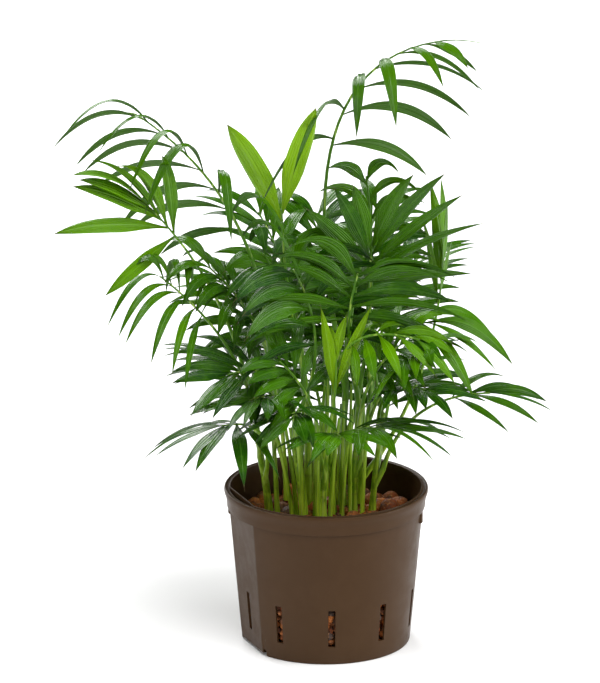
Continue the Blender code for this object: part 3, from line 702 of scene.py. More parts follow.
@dataclass
class Pot:
    """The slotted pot: tapered wall with a flat side, round collar and lip, and two lugs, in mm."""

    height: float = 118.0
    foot_radius: float = 61.8
    wall_top_radius: float = 71.2
    collar_radius: float = 73.0
    collar_bottom: float = 103.0
    lip_radius: float = 75.0
    wall: float = 1.6
    floor: float = 2.4
    flat_heading: float = math.radians(-158)
    flat_half: float = math.radians(19.5)
    flat_foot: float = 2.0
    notch_height: float = 5.0
    notch_turn: float = 0.062
    slot_count: int = 10
    slot_heading: float = math.radians(-86.3)
    slot_width: float = 5.2
    slot_bottom: float = 14.0
    slot_top: float = 43.0
    lugs: tuple[tuple[float, float], ...] = ((-12.0, 94.0), (186.0, 99.0))
    lug_width: float = 5.0
    lug_depth: float = 4.4
    columns: int = 200
    collar_columns: int = 192

    def wall_radius(self, height: Array) -> Array:
        """Outer radius of the tapered wall: a straight line from foot to collar."""
        share = np.asarray(height, float) / self.collar_bottom
        return self.foot_radius + (self.wall_top_radius - self.foot_radius) * share

    def chord(self, heading: Array) -> Array:
        """Share of the radius left at a heading: 1, or less where the flat side cuts the round."""
        turn = turn_from(heading, self.flat_heading)
        flat = np.cos(self.flat_half) / np.cos(np.clip(turn, -self.flat_half, self.flat_half))
        return np.where(np.abs(turn) < self.flat_half, flat, 1.0)

    def slots(self) -> Array:
        """Headings of the slots' middles."""
        return self.slot_heading + around(self.slot_count)

    def headings(self) -> tuple[Array, NDArray[np.bool_]]:
        """Headings of the columns, with the slots' and the flat side's edges among them.

        Returns:
            The headings, and for each column whether the strip after it lies in a slot.
        """
        mid_height = (self.slot_bottom + self.slot_top) / 2 - 0.5
        half = math.asin(self.slot_width / 2 / self.wall_radius(mid_height))
        slots = self.slots()
        edges = np.concatenate([slots - half, slots + half, slots])
        flats = self.flat_heading + np.array([-1, 1]) * self.flat_half
        even = around(self.columns)
        notch = flats[1] + np.array([0.004, self.notch_turn - 0.004, self.notch_turn])
        special = np.concatenate([edges, flats, notch]) % (2 * np.pi)
        apart = np.abs(turn_from(even[:, None], special)).min(axis=1)
        heading = np.sort(np.concatenate([even[apart > 0.006], special]))
        middle = heading + 0.5 * np.diff(np.append(heading, heading[0] + 2 * np.pi))
        return heading, np.abs(turn_from(middle[:, None], slots)).min(axis=1) < half

    def wall_shell(self, surface: Surface) -> None:
        """Adds the wall and floor: a profile turned about Z, cut to the flat side, with open slots.

        The profile runs from under the middle of the floor up the outside, over the rim and down
        the inside. A slot leaves out the cells between its edges on both skins, and strips join
        the two skins round it.
        """
        heading, in_slot = self.headings()
        levels = np.array([self.slot_bottom, 18, 24, 30, 36, self.slot_top, 52, 64, 76, 88, 97,
                           self.collar_bottom, 110])
        foot, top = self.foot_radius, self.height
        top_out = self.collar_radius - self.wall
        side = [(min(float(self.wall_radius(z)), top_out), z) for z in levels]
        outer = [(0, 0), (40, 0), (foot - 1.6, 0), (foot - 0.4, 0.35), (foot + 0.05, 1.4), *side]
        rim = [(top_out, top - 0.8), (top_out - 0.35, top - 0.1), (top_out - 0.8, top),
               (top_out - 1.25, top - 0.1), (top_out - self.wall, top - 0.8)]
        inner = [(radius - self.wall, z) for radius, z in side[::-1]]
        bottom = [(foot - self.wall, self.floor + 1.2), (foot - 3.0, self.floor), (0, self.floor)]
        profile = np.array(outer + rim + inner + bottom)
        radius = profile[:, 0, None] * self.chord(heading)
        outside = np.arange(len(profile)) < len(outer)
        foot_part = profile[:, 0, None] > 50
        height = np.maximum(profile[:, 1, None], np.where(foot_part, self.raised(heading, outside), 0.0))
        rows, columns = radius.shape
        first = len(outer) - len(levels)
        last = rows - 1 - len(bottom)
        deep = int(np.argmax(levels == self.slot_top))
        keep = np.ones((rows - 1, columns), bool)
        open_rows = np.concatenate([first + np.arange(deep), last - 1 - np.arange(deep)])
        keep[np.ix_(open_rows, np.where(in_slot)[0])] = False
        faces = grid_faces(rows, columns).reshape(rows - 1, columns, 4)[keep]
        strips = self.slot_strips(first, deep, last, in_slot, columns)
        surface.add(turned(radius, heading, height).reshape(-1, 3) * MM, np.concatenate([faces, strips]),
                    grid_places(heading / (2 * np.pi), rows))

    def raised(self, heading: Array, outside: NDArray[np.bool_]) -> Array:
        """How far the wall's foot is lifted: a little along the flat side, more in the notch beside it.

        Args:
            heading: Headings of the columns.
            outside: Whether each row of the profile is on the outside, where it is lifted.

        Returns:
            Heights in mm: (rows, columns).
        """
        turn = turn_from(heading, self.flat_heading)
        beside = turn - self.flat_half
        on_flat = np.abs(turn) <= self.flat_half + 1e-6
        notched = (beside > 0.002) & (beside < self.notch_turn - 0.002)
        lift = np.where(notched, self.notch_height, np.where(on_flat, self.flat_foot, 0.0))
        return np.where(outside[:, None], lift, 0.0)

    def slot_strips(self, first: int, deep: int, last: int, in_slot: NDArray[np.bool_],
                    columns: int) -> NDArray[np.int64]:
        """Faces that join the outer and inner skin round every slot.

        Args:
            first: Outer row at the slots' bottom.
            deep: Rows of cells in a slot.
            last: Inner row at the slots' bottom.
            in_slot: Whether the strip after each column lies in a slot.
            columns: Columns of the grid.

        Returns:
            Four corners for each face.
        """
        column = np.where(in_slot)[0]
        beside = (column + 1) % columns
        faces = []
        for step, flip in ((0, False), (deep, True)):
            out_row = (first + step) * columns
            in_row = (last - step) * columns
            quad = np.stack([out_row + column, out_row + beside, in_row + beside, in_row + column], axis=-1)
            faces.append(quad[:, ::-1] if not flip else quad)
        step = np.arange(deep)[:, None]
        starts = column[~in_slot[column - 1]]
        ends = (column[~in_slot[(column + 1) % columns]] + 1) % columns
        for edge, flip in ((starts, False), (ends, True)):
            out_low = (first + step) * columns + edge
            out_high = (first + step + 1) * columns + edge
            in_low = (last - step) * columns + edge
            in_high = (last - step - 1) * columns + edge
            quad = np.stack([out_low, out_high, in_high, in_low], axis=-1).reshape(-1, 4)
            faces.append(quad if not flip else quad[:, ::-1])
        return np.concatenate(faces)

    def collar(self, surface: Surface) -> None:
        """Adds the round collar with its lip: a closed section turned about Z.

        The collar starts with a small step, flares softly outwards, and ends in a rolled lip with a
        shallow groove between its outer and inner edge.
        """
        inside = self.collar_radius - self.wall - 0.2
        foot, lip = self.collar_radius, self.lip_radius
        low, top = self.collar_bottom, self.height
        section = np.array([
            (inside, low + 0.4), (foot - 0.9, low), (foot - 0.35, low + 0.2), (foot - 0.15, low + 0.9),
            (foot + 0.1, low + 4.5), (foot + 0.6, low + 7.6), (lip - 0.6, top - 5.0), (lip - 0.1, top - 3.4),
            (lip, top - 2.2), (lip - 0.1, top - 1.2), (lip - 0.5, top - 0.5), (lip - 1.0, top - 0.3),
            (lip - 1.4, top - 0.6), (lip - 2.0, top - 0.9), (inside, top - 0.8), (inside, low + 7.0),
            (inside, low + 0.4),
        ])
        heading = around(self.collar_columns)
        surface.add_grid(turned(section[:, 0, None], heading, section[:, 1, None]))

    def pocket_floor(self, surface: Surface) -> None:
        """Adds the floor of the crescent between the flat wall and the collar."""
        share = np.linspace(0, 1, 25)
        heading = self.flat_heading + (2 * share - 1) * self.flat_half
        near = self.wall_top_radius * self.chord(heading) - 0.4
        far = np.full_like(near, self.collar_radius - 1.0)
        points = turned(np.stack([near, far]), heading, self.collar_bottom + 1.6)
        surface.add_grid(points, share, closed=False, flip=True)

    def lug(self, surface: Surface, degrees: float, bottom: float) -> None:
        """Adds one lug: a short upright bar of rounded section under the collar.

        Args:
            surface: Where it goes.
            degrees: Its heading.
            bottom: Height of its lower end.
        """
        heading = math.radians(degrees)
        along = np.array([math.cos(heading), math.sin(heading), 0.0])
        across = np.array([-math.sin(heading), math.cos(heading), 0.0])
        angle = around(16)
        square = np.sign(np.cos(angle)) * np.abs(np.cos(angle)) ** 0.5
        other = np.sign(np.sin(angle)) * np.abs(np.sin(angle)) ** 0.5
        top = self.collar_bottom + 1
        level = np.array([bottom, bottom + 0.05, bottom + 0.6, top, top + 0.05])
        size = np.array([0.0, 0.8, 1.0, 1.0, 0.0])
        thick, wide = self.lug_depth / 2, self.lug_width / 2
        centre = along * (self.collar_radius - 0.6 - thick) + np.array([0, 0, 1.0]) * level[:, None]
        out = along * (square * thick)[:, None] + across * (other * wide)[:, None]
        surface.add_grid(centre[:, None, :] + out[None] * size[:, None, None])

    def build(self, finish: bpy.types.Material) -> bpy.types.Object:
        """Builds the pot as one piece that stands for its solid."""
        surface = Surface()
        self.wall_shell(surface)
        self.collar(surface)
        self.pocket_floor(surface)
        for degrees, bottom in self.lugs:
            self.lug(surface, degrees, bottom)
        return settle(surface.build("slotted_pot", 35.0), finish, "pot_plastic", "pot")


@dataclass
class Pebbles:
    """The clay pebbles: a jittered layer on top, one below it, and those that fill the slots, in mm."""

    pot: Pot
    level: float = 96.0
    radius: float = 6.8
    pitch: float = 13.4
    rise: float = 0.2
    margin: float = 1.2
    lower_pitch: float = 10.4
    lower_drop: float = 4.6
    lower_margin: float = 8.6
    slot_pitch: float = 4.9
    slot_turn: float = 0.1
    wave_pace: tuple[float, ...] = (1.4, 1.6, 2.0, 4.2, 5.5)
    wave_depth: tuple[float, ...] = (0.07, 0.07, 0.05, 0.025, 0.02)
    bed_profile: tuple[tuple[float, float], ...] = (
        (0, 3.2), (52, 3.2), (54, 6), (62, 88), (60, 91.5), (0, 91.5),
    )

    def top_places(self, canes: dict[str, Cane]) -> list[tuple[float, float, float]]:
        """Centres of the top layer in a jittered triangular pattern, clear of the canes."""
        rng = random.Random(SEED)
        wall = float(self.pot.wall_radius(self.level))
        margin = self.pot.wall + self.margin + self.radius
        rows = int((wall - margin) / self.pitch) + 2
        places = []
        for row in range(-rows, rows + 1):
            for column in range(-rows, rows + 1):
                x = (column + 0.5 * (row % 2)) * self.pitch + rng.uniform(-1, 1)
                y = row * self.pitch * 0.87 + rng.uniform(-1, 1)
                z = self.level + self.rise + rng.uniform(-1.6, 1.2)
                limit = wall * float(self.pot.chord(np.array(math.atan2(y, x)))) - margin
                near = [math.dist((x, y), cane.foot[:2]) - cane.foot_radius for cane in canes.values()]
                if math.hypot(x, y) < limit and min(near) > self.radius + 2 * GAP:
                    places.append((x, y, z))
        return places

    def lower_places(self, rng: np.random.Generator) -> Array:
        """Centres of a denser layer just below, which shows between the upper pebbles."""
        across = np.arange(-6, 7) * self.lower_pitch
        x, y = np.meshgrid(across, across)
        shifted = (np.arange(len(across)) % 2)[:, None] * self.lower_pitch / 2
        x = x + shifted + rng.uniform(-1.5, 1.5, x.shape)
        y = y * 0.9 + rng.uniform(-1.5, 1.5, y.shape)
        wall = float(self.pot.wall_radius(self.level)) * self.pot.chord(np.arctan2(y, x))
        inside = np.hypot(x, y) < wall - self.lower_margin
        z = self.level - self.lower_drop + rng.uniform(-1.5, 1.2, x.shape)
        return np.stack([x[inside], y[inside], z[inside]], axis=-1)

    def slot_places(self, rng: np.random.Generator) -> Array:
        """Centres of the small pebbles that press against the slots from inside, three abreast."""
        pot = self.pot
        beside = np.array([-1, 0, 1]) * self.slot_turn
        z = np.arange(pot.slot_bottom - 3, pot.slot_top + 7, self.slot_pitch)
        heading, height = np.meshgrid((pot.slots()[:, None] + beside).ravel(), z, indexing="ij")
        heading = heading + rng.uniform(-0.03, 0.03, heading.shape)
        height = height + rng.uniform(-1.4, 1.4, height.shape)
        inner_wall = pot.wall_radius(height) * pot.chord(heading) - pot.wall
        return turned(inner_wall - rng.uniform(3.0, 5.0, height.shape), heading, height).reshape(-1, 3)

    def add(self, surface: Surface, places: Array, sizes: Array, rng: np.random.Generator,
            rows: int, columns: int) -> None:
        """Adds pebbles: a ball whose radius swells and sinks with slow and quick waves, then turned.

        Args:
            surface: Where they go.
            places: Centres, one row each.
            sizes: Their radii.
            rng: Where their shapes come from.
            rows: Rings of points from pole to pole.
            columns: Points in a ring.
        """
        count = len(places)
        lat = np.linspace(0, np.pi, rows)[:, None]
        ball = turned(np.sin(lat), around(columns), np.cos(lat)).reshape(-1, 3)
        waves = rng.normal(size=(count, len(self.wave_pace), 3)) * np.array(self.wave_pace)[:, None]
        phase = rng.uniform(0, 2 * np.pi, (count, len(self.wave_pace), 1))
        swing = np.sin(np.einsum("cwk,vk->cwv", waves, ball) + phase)
        swell = 1 + (np.array(self.wave_depth)[:, None] * swing).sum(axis=1)
        squash = rng.uniform((0.82, 0.82, 0.74), (1.05, 1.05, 0.95), (count, 3))
        x, y, z = np.moveaxis(ball * swell[..., None] * sizes[:, None, None] * squash[:, None, :], -1, 0)
        turn = rng.uniform(0, 2 * np.pi, count)
        c, s = np.cos(turn)[:, None], np.sin(turn)[:, None]
        points = np.stack([x * c - y * s, x * s + y * c, z], axis=-1) + places[:, None, :]
        for pebble, tone in zip(points, rng.uniform(0, 1, count)):
            surface.add_grid(pebble.reshape(rows, columns, 3), flip=True, tone=tone)

    def bed(self, surface: Surface) -> None:
        """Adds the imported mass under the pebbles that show: a tapering plug with a flat top."""
        profile = np.array(self.bed_profile)
        heading = around(96)
        radius = profile[:, 0, None] * self.pot.chord(heading)
        # The bed's low tone makes it a duller, darker brown than most pebbles: painted shade for the depths
        # that show between them.
        surface.add_grid(turned(radius, heading, profile[:, 1, None]), tone=0.1)

    def build(self, canes: dict[str, Cane], finish: bpy.types.Material) -> bpy.types.Object:
        """Builds the filling as one piece that stands for its solid."""
        rng = np.random.default_rng(SEED)
        surface = Surface()
        top = np.array(self.top_places(canes))
        self.add(surface, top, rng.uniform(5.6, 7.8, len(top)), rng, 13, 18)
        lower = self.lower_places(rng)
        self.add(surface, lower, rng.uniform(5.2, 6.8, len(lower)), rng, 11, 14)
        slots = self.slot_places(rng)
        self.add(surface, slots, rng.uniform(2.5, 4.0, len(slots)), rng, 7, 8)
        self.bed(surface)
        return settle(surface.build("clay_filling", 70.0), finish, "fired_clay", "clay_pebbles")


@dataclass
class Clump:
    """The canes: tubes with raised rings where old leaves sat."""

    rows: int = 90
    sides: int = 20
    ring_height: float = 0.04
    ring_width: float = 0.9
    ring_gap: tuple[float, float] = (9, 19)
    rings: int = 7
    stalks: int = 22
    stalk_rows: int = 14

    def build(self, canes: dict[str, Cane], finish: bpy.types.Material) -> bpy.types.Object:
        """Builds the canes as one piece. A ring's swelling falls off as a bell from its height."""
        rng = np.random.default_rng(SEED + 3)
        surface = Surface()
        share = np.linspace(0, 1, self.rows)
        for cane in canes.values():
            path = cane.centre(share)
            height = path[:, 2]
            nodes = cane.foot[2] + 6 + np.cumsum(rng.uniform(*self.ring_gap, self.rings))
            bell = np.exp(-(((height[:, None] - nodes) / self.ring_width) ** 2)).sum(axis=1)
            radius = cane.thickness(share) * (1 + self.ring_height * bell)
            angle = around(self.sides)
            wave = 1 + 0.03 * np.sin(angle * 3 + rng.uniform(0, 6))
            points = path[:, None, :] + turned(radius[:, None] * wave, angle, 0.0)
            ends = np.concatenate([np.repeat(path[:1, None], self.sides, 1), points,
                                   np.repeat(path[-1:, None], self.sides, 1)])
            scar = np.repeat(np.concatenate([[0], np.clip(bell, 0, 1), [0]]), self.sides)
            surface.add_grid(ends, tone=rng.uniform(0, 1), scar=scar)
        self.add_stalks(surface, list(canes.values()), rng)
        return settle(surface.build("canes", 50.0), finish, "cane_green", *canes)

    def add_stalks(self, surface: Surface, canes: list[Cane], rng: np.random.Generator) -> None:
        """Adds the thin leaf stalks between the canes: each stands beside one and leans with it.

        A stalk's centre runs from foot to top with a lean that grows as the share to the 1.5.

        Args:
            surface: Where they go.
            canes: The canes they stand beside.
            rng: Where their places, heights and widths come from.
        """
        pick = 3 + np.arange(self.stalks) % 6
        turn = rng.uniform(0, 2 * np.pi, self.stalks)
        beside = turned(1.0, turn, 0.0)
        foot = np.array([canes[k].foot for k in pick]) + beside * rng.uniform(5.5, 8.0, (self.stalks, 1))
        foot[:, 2] -= 4.0
        top = np.array([canes[k].tip for k in pick]) + beside * rng.uniform(4, 16, (self.stalks, 1))
        top[:, 2] = rng.uniform(165, 190, self.stalks)
        share = np.linspace(0, 1, self.stalk_rows)[:, None]
        lean = np.concatenate([share**1.5, share**1.5, share], axis=-1)
        paths = foot[:, None, :] + (top - foot)[:, None, :] * lean
        radii = rng.uniform(1.2, 2.0, (self.stalks, 1)) * (1 - 0.35 * share[:, 0])
        before = surface.count
        add_tubes(surface, paths, radii, 8, np.tile([0.0, 1.0, 0.2], (self.stalks, 1)),
                  rng.uniform(0, 0.5, self.stalks))
        surface.values["scar"].append(np.zeros(surface.count - before))


@dataclass
class Rib:
    """A frond's rib as a curve in mm: its start, bend and tip."""

    start: Array
    bend: Array
    tip: Array

    @classmethod
    def of(cls, plan: FrondPlan, cane: Cane) -> "Rib":
        """Works out the curve that leaves the cane, passes the knee and ends at the tip."""
        share = cane.share_at(plan.joint)
        knee, tip = np.array(plan.knee, float), np.array(plan.tip, float)
        axis = cane.centre(np.array(share))
        if share >= 1:
            start = axis + np.array([0, 0, 1.5 * GAP + 0.8 * RIB_BASE])
        else:
            away = unit(np.array([knee[0] - axis[0], knee[1] - axis[1], 0.0]))
            start = axis + away * (float(cane.thickness(np.array(share))) + RIB_BASE + 2 * GAP)
        near = float(np.linalg.norm(knee - start))
        u = near / (near + float(np.linalg.norm(tip - knee)))
        before, after = (1 - u) ** 2, u**2
        bend = (knee - start * before - tip * after) / (1 - before - after)
        return cls(start, bend, tip)

    def at(self, t: Array) -> Array:
        """Points: start by (1-t) squared, tip by t squared, and the bend by what is left of one."""
        t = np.asarray(t, float)[..., None]
        before, after = (1 - t) ** 2, t**2
        return self.start * before + self.bend * (1 - before - after) + self.tip * after

    def way(self, t: Array) -> Array:
        """Directions along the curve."""
        t = np.asarray(t, float)
        return unit(self.at(np.minimum(t + 0.01, 1)) - self.at(np.maximum(t - 0.01, 0)))


@dataclass
class Leaflets:
    """A frond's leaflets in mm, one row each: where they start, how they lie and their shape."""

    root: Array
    rib: Array
    start: Array
    upper: Array
    length: Array
    width: Array
    droop: Array
    tone: Array
    roll: float
    full: float

    rows: int = 24
    widest: float = 5 / 12
    thickness: float = 0.5
    pleat: float = 0.18

    def paths(self, rng: np.random.Generator) -> tuple[Array, Array, Array]:
        """Midribs and the directions across and up from them.

        A leaflet sets off along its start and turns down by droop times its share to the 1.5. One
        that sets off upwards bends more. Its blade first lies along the rib, is carried along the
        midrib without turning about it, and rolls towards the level until it is widest.

        Args:
            rng: Where the small sideways sweep and twist come from.

        Returns:
            Points, across and up: (leaflets, rows, 3) each.
        """
        count = len(self.root)
        t = np.linspace(0, 1, self.rows)
        level = unit(self.start * np.array([1, 1, 0]))
        fall = (level * 0.3 - np.array([0, 0, 1.0])) * (1 + 1.2 * np.maximum(self.start[:, 2:], 0))
        across = unit(self.rib - self.start * dot(self.rib, self.start))
        sweep = rng.normal(0, 0.07, (count, 1, 1))
        bent = self.start[:, None, :] + fall[:, None, :] * self.droop[:, None, None] * t[None, :, None] ** 1.5
        way = unit(bent + across[:, None, :] * sweep * t[None, :, None])
        step = self.length[:, None, None] / (self.rows - 1)
        points = self.root[:, None, :] + np.concatenate(
            [np.zeros((count, 1, 3)), np.cumsum(way[:, :-1] * step, axis=1)], axis=1
        )
        flat = unit(np.cross(np.array([0, 0, 1.0]), way))
        sense = np.where(dot(np.cross(np.array([0, 0, 1.0]), self.start), across) > 0, 1.0, -1.0)
        rolled = (np.minimum(t, self.widest) * 12 * self.roll)[:, None]
        carried = [across]
        for row in range(1, self.rows):
            carried.append(unit(carried[-1] - way[:, row] * dot(carried[-1], way[:, row])))
        lying = np.stack(carried, axis=1) + flat * sense[:, None, :] * rolled
        lying = unit(lying - way * dot(lying, way))
        up = np.cross(lying, way)
        up = up * np.where(dot(up[:, :1], self.upper[:, None, :]) < 0, -1.0, 1.0)
        twist = rng.normal(0, 0.25, (count, 1, 1)) * t[None, :, None]
        laid = lying * np.cos(twist) + up * np.sin(twist)
        return points, laid, up * np.cos(twist) - lying * np.sin(twist)

    def outline(self) -> Array:
        """Half widths as shares of the widest: a narrow foot, a body that tapers and a fine tip."""
        t = np.linspace(0, 1, self.rows)
        foot = 0.14 + 0.86 * smooth_step(t / 0.42)
        end = np.clip((t - 0.3) / 0.66, 0, 1)
        return np.maximum(foot * (1 - end ** (1.7 + 2.3 * self.full)) ** 1.1, 0.02)

    def add(self, surface: Surface, rng: np.random.Generator) -> None:
        """Adds the blades: twelve points round each station, seven above and five below.

        The blade's halves fall away from the midrib as u to the 1.4, with a pleat between midrib and
        edge on each side, and its thickness fades towards the edges and the tip.

        Args:
            surface: Where they go.
            rng: Where the small differences come from.
        """
        points, across, up = self.paths(rng)
        u = np.array([-1, -0.7, -0.38, 0, 0.38, 0.7, 1, 0.7, 0.38, 0, -0.38, -0.7])
        below = np.array([0, 0, 0, 0, 0, 0, 0, 1.0, 1.0, 1.0, 1.0, 1.0])
        half = self.width[:, None] / 2 * self.outline()
        sag = -0.3 * np.abs(u) ** 1.4 - self.pleat * (np.abs(np.abs(u) - 0.38) < 0.1)
        rise = np.where(below > 0, -0.5, 0.5) * (1 - np.abs(u) ** 3) * self.thickness
        thin = np.clip(half / 2.0, 0.15, 1.0)
        sideways = half[..., None] * u
        upwards = half[..., None] * sag + thin[..., None] * rise
        ring = (points[:, :, None, :] + across[:, :, None, :] * sideways[..., None]
                + up[:, :, None, :] * upwards[..., None])
        under = np.tile(below, self.rows)
        for blade, tone, flip in zip(ring, self.tone, self.flipped(across, up, points)):
            surface.add_grid(blade, (u + 1) / 2, flip=bool(flip), tone=tone, underside=under)

    def flipped(self, across: Array, up: Array, points: Array) -> NDArray[np.bool_]:
        """Whether each leaflet's faces need turning over to look outwards."""
        way = points[:, 1] - points[:, 0]
        return (dot(np.cross(across[:, 0], up[:, 0]), way) > 0)[:, 0]


@dataclass
class Crown:
    """Every frond: its rib with the sheath that wraps the cane, and its leaflets."""

    canes: dict[str, Cane]
    rib_rows: int = 22
    rib_sides: int = 8
    petiole_radius: float = 1.75
    rib_tip_radius: float = 0.65
    broader: float = 1.18
    longer_at_back: float = 1.1

    def plans(self) -> list[FrondPlan]:
        """The fronds that the plan names, and those at the back, fanned out tier by tier."""
        rng = random.Random(SEED + 1)
        feet = {plan.name: np.array([*plan.foot, 0.0]) for plan in CANES}
        made: list[FrondPlan] = []
        for names, joint, reach, top, pairs in TIERS:
            for k, name in enumerate(names):
                share = (k + 0.5) / len(names)
                heading = math.radians(BACK_FROM + BACK_SPAN * share + rng.uniform(-6, 6))
                out = np.array([math.cos(heading), math.sin(heading), 0.0])
                far = out * reach * rng.uniform(0.92, 1.05)
                height = top * rng.uniform(0.97, 1.03)
                tip = feet[name] * 0.6 + far + np.array([0, 0, height])
                knee = feet[name] + far * 0.38 + np.array([0, 0, joint + (height - joint) * 0.72])
                leaf = (rng.uniform(58, 66) * self.longer_at_back, rng.uniform(8.5, 10))
                face = np.array([0, 0, 6.0]) - out * 5
                made.append(FrondPlan(
                    f"frond_{FIRST_AT_BACK + len(made)}", name, joint, tuple(knee), tuple(tip), pairs, leaf,
                    tuple(face), bare=0.38, spread=(64, 26), droop=rng.uniform(0.5, 0.9),
                    tone=rng.choice((Tone.DARK, Tone.DARK, Tone.MID)), more=4,
                ))
        return list(FRONDS) + made

    def leaflets(self, plan: FrondPlan, rng: np.random.Generator) -> Leaflets:
        """Works out a frond's leaflets, pair by pair along its rib."""
        rib = Rib.of(plan, self.canes[plan.cane])
        pairs = plan.pairs + plan.more
        k = np.repeat(np.arange(pairs), 2)
        side = np.tile([-1.0, 1.0], pairs)
        v = k / max(pairs - 1, 1)
        share = plan.bare + (0.985 - plan.bare) * (k + 0.35 + 0.1 * side) / (pairs - 0.5)
        share = np.minimum(share, 0.985)
        angle = plan.spread[1] + (plan.spread[0] - plan.spread[1]) * (1 - v) ** 1.4
        stray = 0.2 if pairs == 1 else 1.0
        angle = angle + stray * rng.uniform(-7, 7, len(k)) - side * plan.skew * (1 - v) ** 2
        length = plan.leaf[0] * (0.8 + 0.2 * np.sin(np.pi * (0.15 + 0.75 * v))) * (1 - plan.fade * v**2)
        length = length * (1 - stray * rng.uniform(-0.06, 0.14, len(k)))
        width = plan.leaf[1] * (0.85 + 0.15 * np.sin(np.pi * (0.1 + 0.9 * v)))
        width = width * np.where((k == pairs - 1) & (pairs > 2), 1.25, 1.0) * self.broader
        tangent = rib.way(share)
        across = unit(np.cross(tangent, unit(np.array(plan.face, float))))
        upper = np.cross(across, tangent)
        turn = np.radians(angle)[:, None]
        start = unit(tangent * np.cos(turn) + across * side[:, None] * np.sin(turn) + upper * plan.lift)
        droop = plan.droop * rng.uniform(0.75, 1.3, len(k))
        # A frond's shift of lightness goes into every leaflet's tone: painted light where above zero, painted
        # shade where below.
        tone = np.clip(plan.bright + rng.uniform(0, 0.55) + rng.normal(0, 0.18, len(k)), 0, 1)
        return Leaflets(rib.at(share), tangent, start, upper, length, width, droop, tone,
                        plan.roll, plan.full)

    def rib_path(self, plan: FrondPlan) -> tuple[Array, Array]:
        """The rib with its sheath: from 20 mm down the cane, up along it and out into the curve.

        A whisker goes on from the tip and turns level as its share squared.

        Returns:
            Centres and radii, in mm.
        """
        cane = self.canes[plan.cane]
        rib = Rib.of(plan, cane)
        length = float(cane.tip[2] - cane.foot[2])
        share = cane.share_at(plan.joint)
        low = np.clip(share - np.array([20, 13, 6]) / length, 0.01, 1)
        sheath = cane.centre(low)
        t = np.linspace(0.06, 1, self.rib_rows)
        end = np.linspace(0, 1, 8)[1:, None] if plan.whisker else np.zeros((0, 1))
        level = unit(rib.way(np.array([1.0])) * np.array([1, 1, 0]))
        away = rib.way(np.array([1.0])) * (1 - end) * end + level * end**2 + np.array([0, 0, 0.12]) * end**2
        path = np.concatenate([sheath, rib.at(t), rib.tip + plan.whisker * away])
        wrap = cane.thickness(low) * np.array([0.98, 1.08, 1.02])
        radii = self.petiole_radius + (self.rib_tip_radius - self.petiole_radius) * t
        radii = radii + 0.9 * np.exp(-t / 0.09)
        return path, np.concatenate([wrap, radii, self.rib_tip_radius * (1 - 0.6 * end[:, 0])])

    def ribs(self, plans: list[FrondPlan], finish: bpy.types.Material) -> bpy.types.Object:
        """Builds all ribs and sheaths as one piece."""
        rng = np.random.default_rng(SEED + 5)
        surface = Surface()
        for plan in plans:
            path, radii = self.rib_path(plan)
            young = plan.tone in (Tone.LIGHT, Tone.NEW)
            tone = rng.uniform(0, 0.3, 1) if young else rng.uniform(0.7, 1, 1)
            add_tubes(surface, path[None], radii[None], self.rib_sides,
                      unit(np.array([plan.face], float)), tone)
        surface.values["scar"] = [np.zeros(surface.count)]
        return settle(surface.build("ribs", 50.0), finish, "cane_green", *[plan.name for plan in plans])

    def build(self, rib_finish: bpy.types.Material, finishes: dict[Tone, bpy.types.Material]) -> None:
        """Builds the ribs, and the leaflets of each tone as one piece."""
        plans = self.plans()
        self.ribs(plans, rib_finish)
        for tone, finish in finishes.items():
            surface = Surface()
            chosen = [plan for plan in plans if plan.tone is tone]
            for plan in chosen:
                rng = np.random.default_rng([SEED, int(plan.name[-2:])])
                self.leaflets(plan, rng).add(surface, rng)
            settle(surface.build(f"leaflets_{tone.value}", 75.0), finish, f"leaf_{tone.value}",
                   *[plan.name for plan in chosen])


def settle(piece: bpy.types.Object, finish: bpy.types.Material, slot: str, *nodes: str) -> bpy.types.Object:
    """Gives a piece its finish, lets it ride with the object and stand for its solids.

    Args:
        piece: The new object.
        finish: Its material.
        slot: The record's material slot; not used.
        nodes: The solids it stands for.

    Returns:
        The piece.
    """
    piece.data.materials.append(finish)
    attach(piece, "root")
    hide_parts(*nodes)
    log.info("%s: %d faces for %d solids", piece.name, len(piece.data.polygons), len(nodes))
    return piece


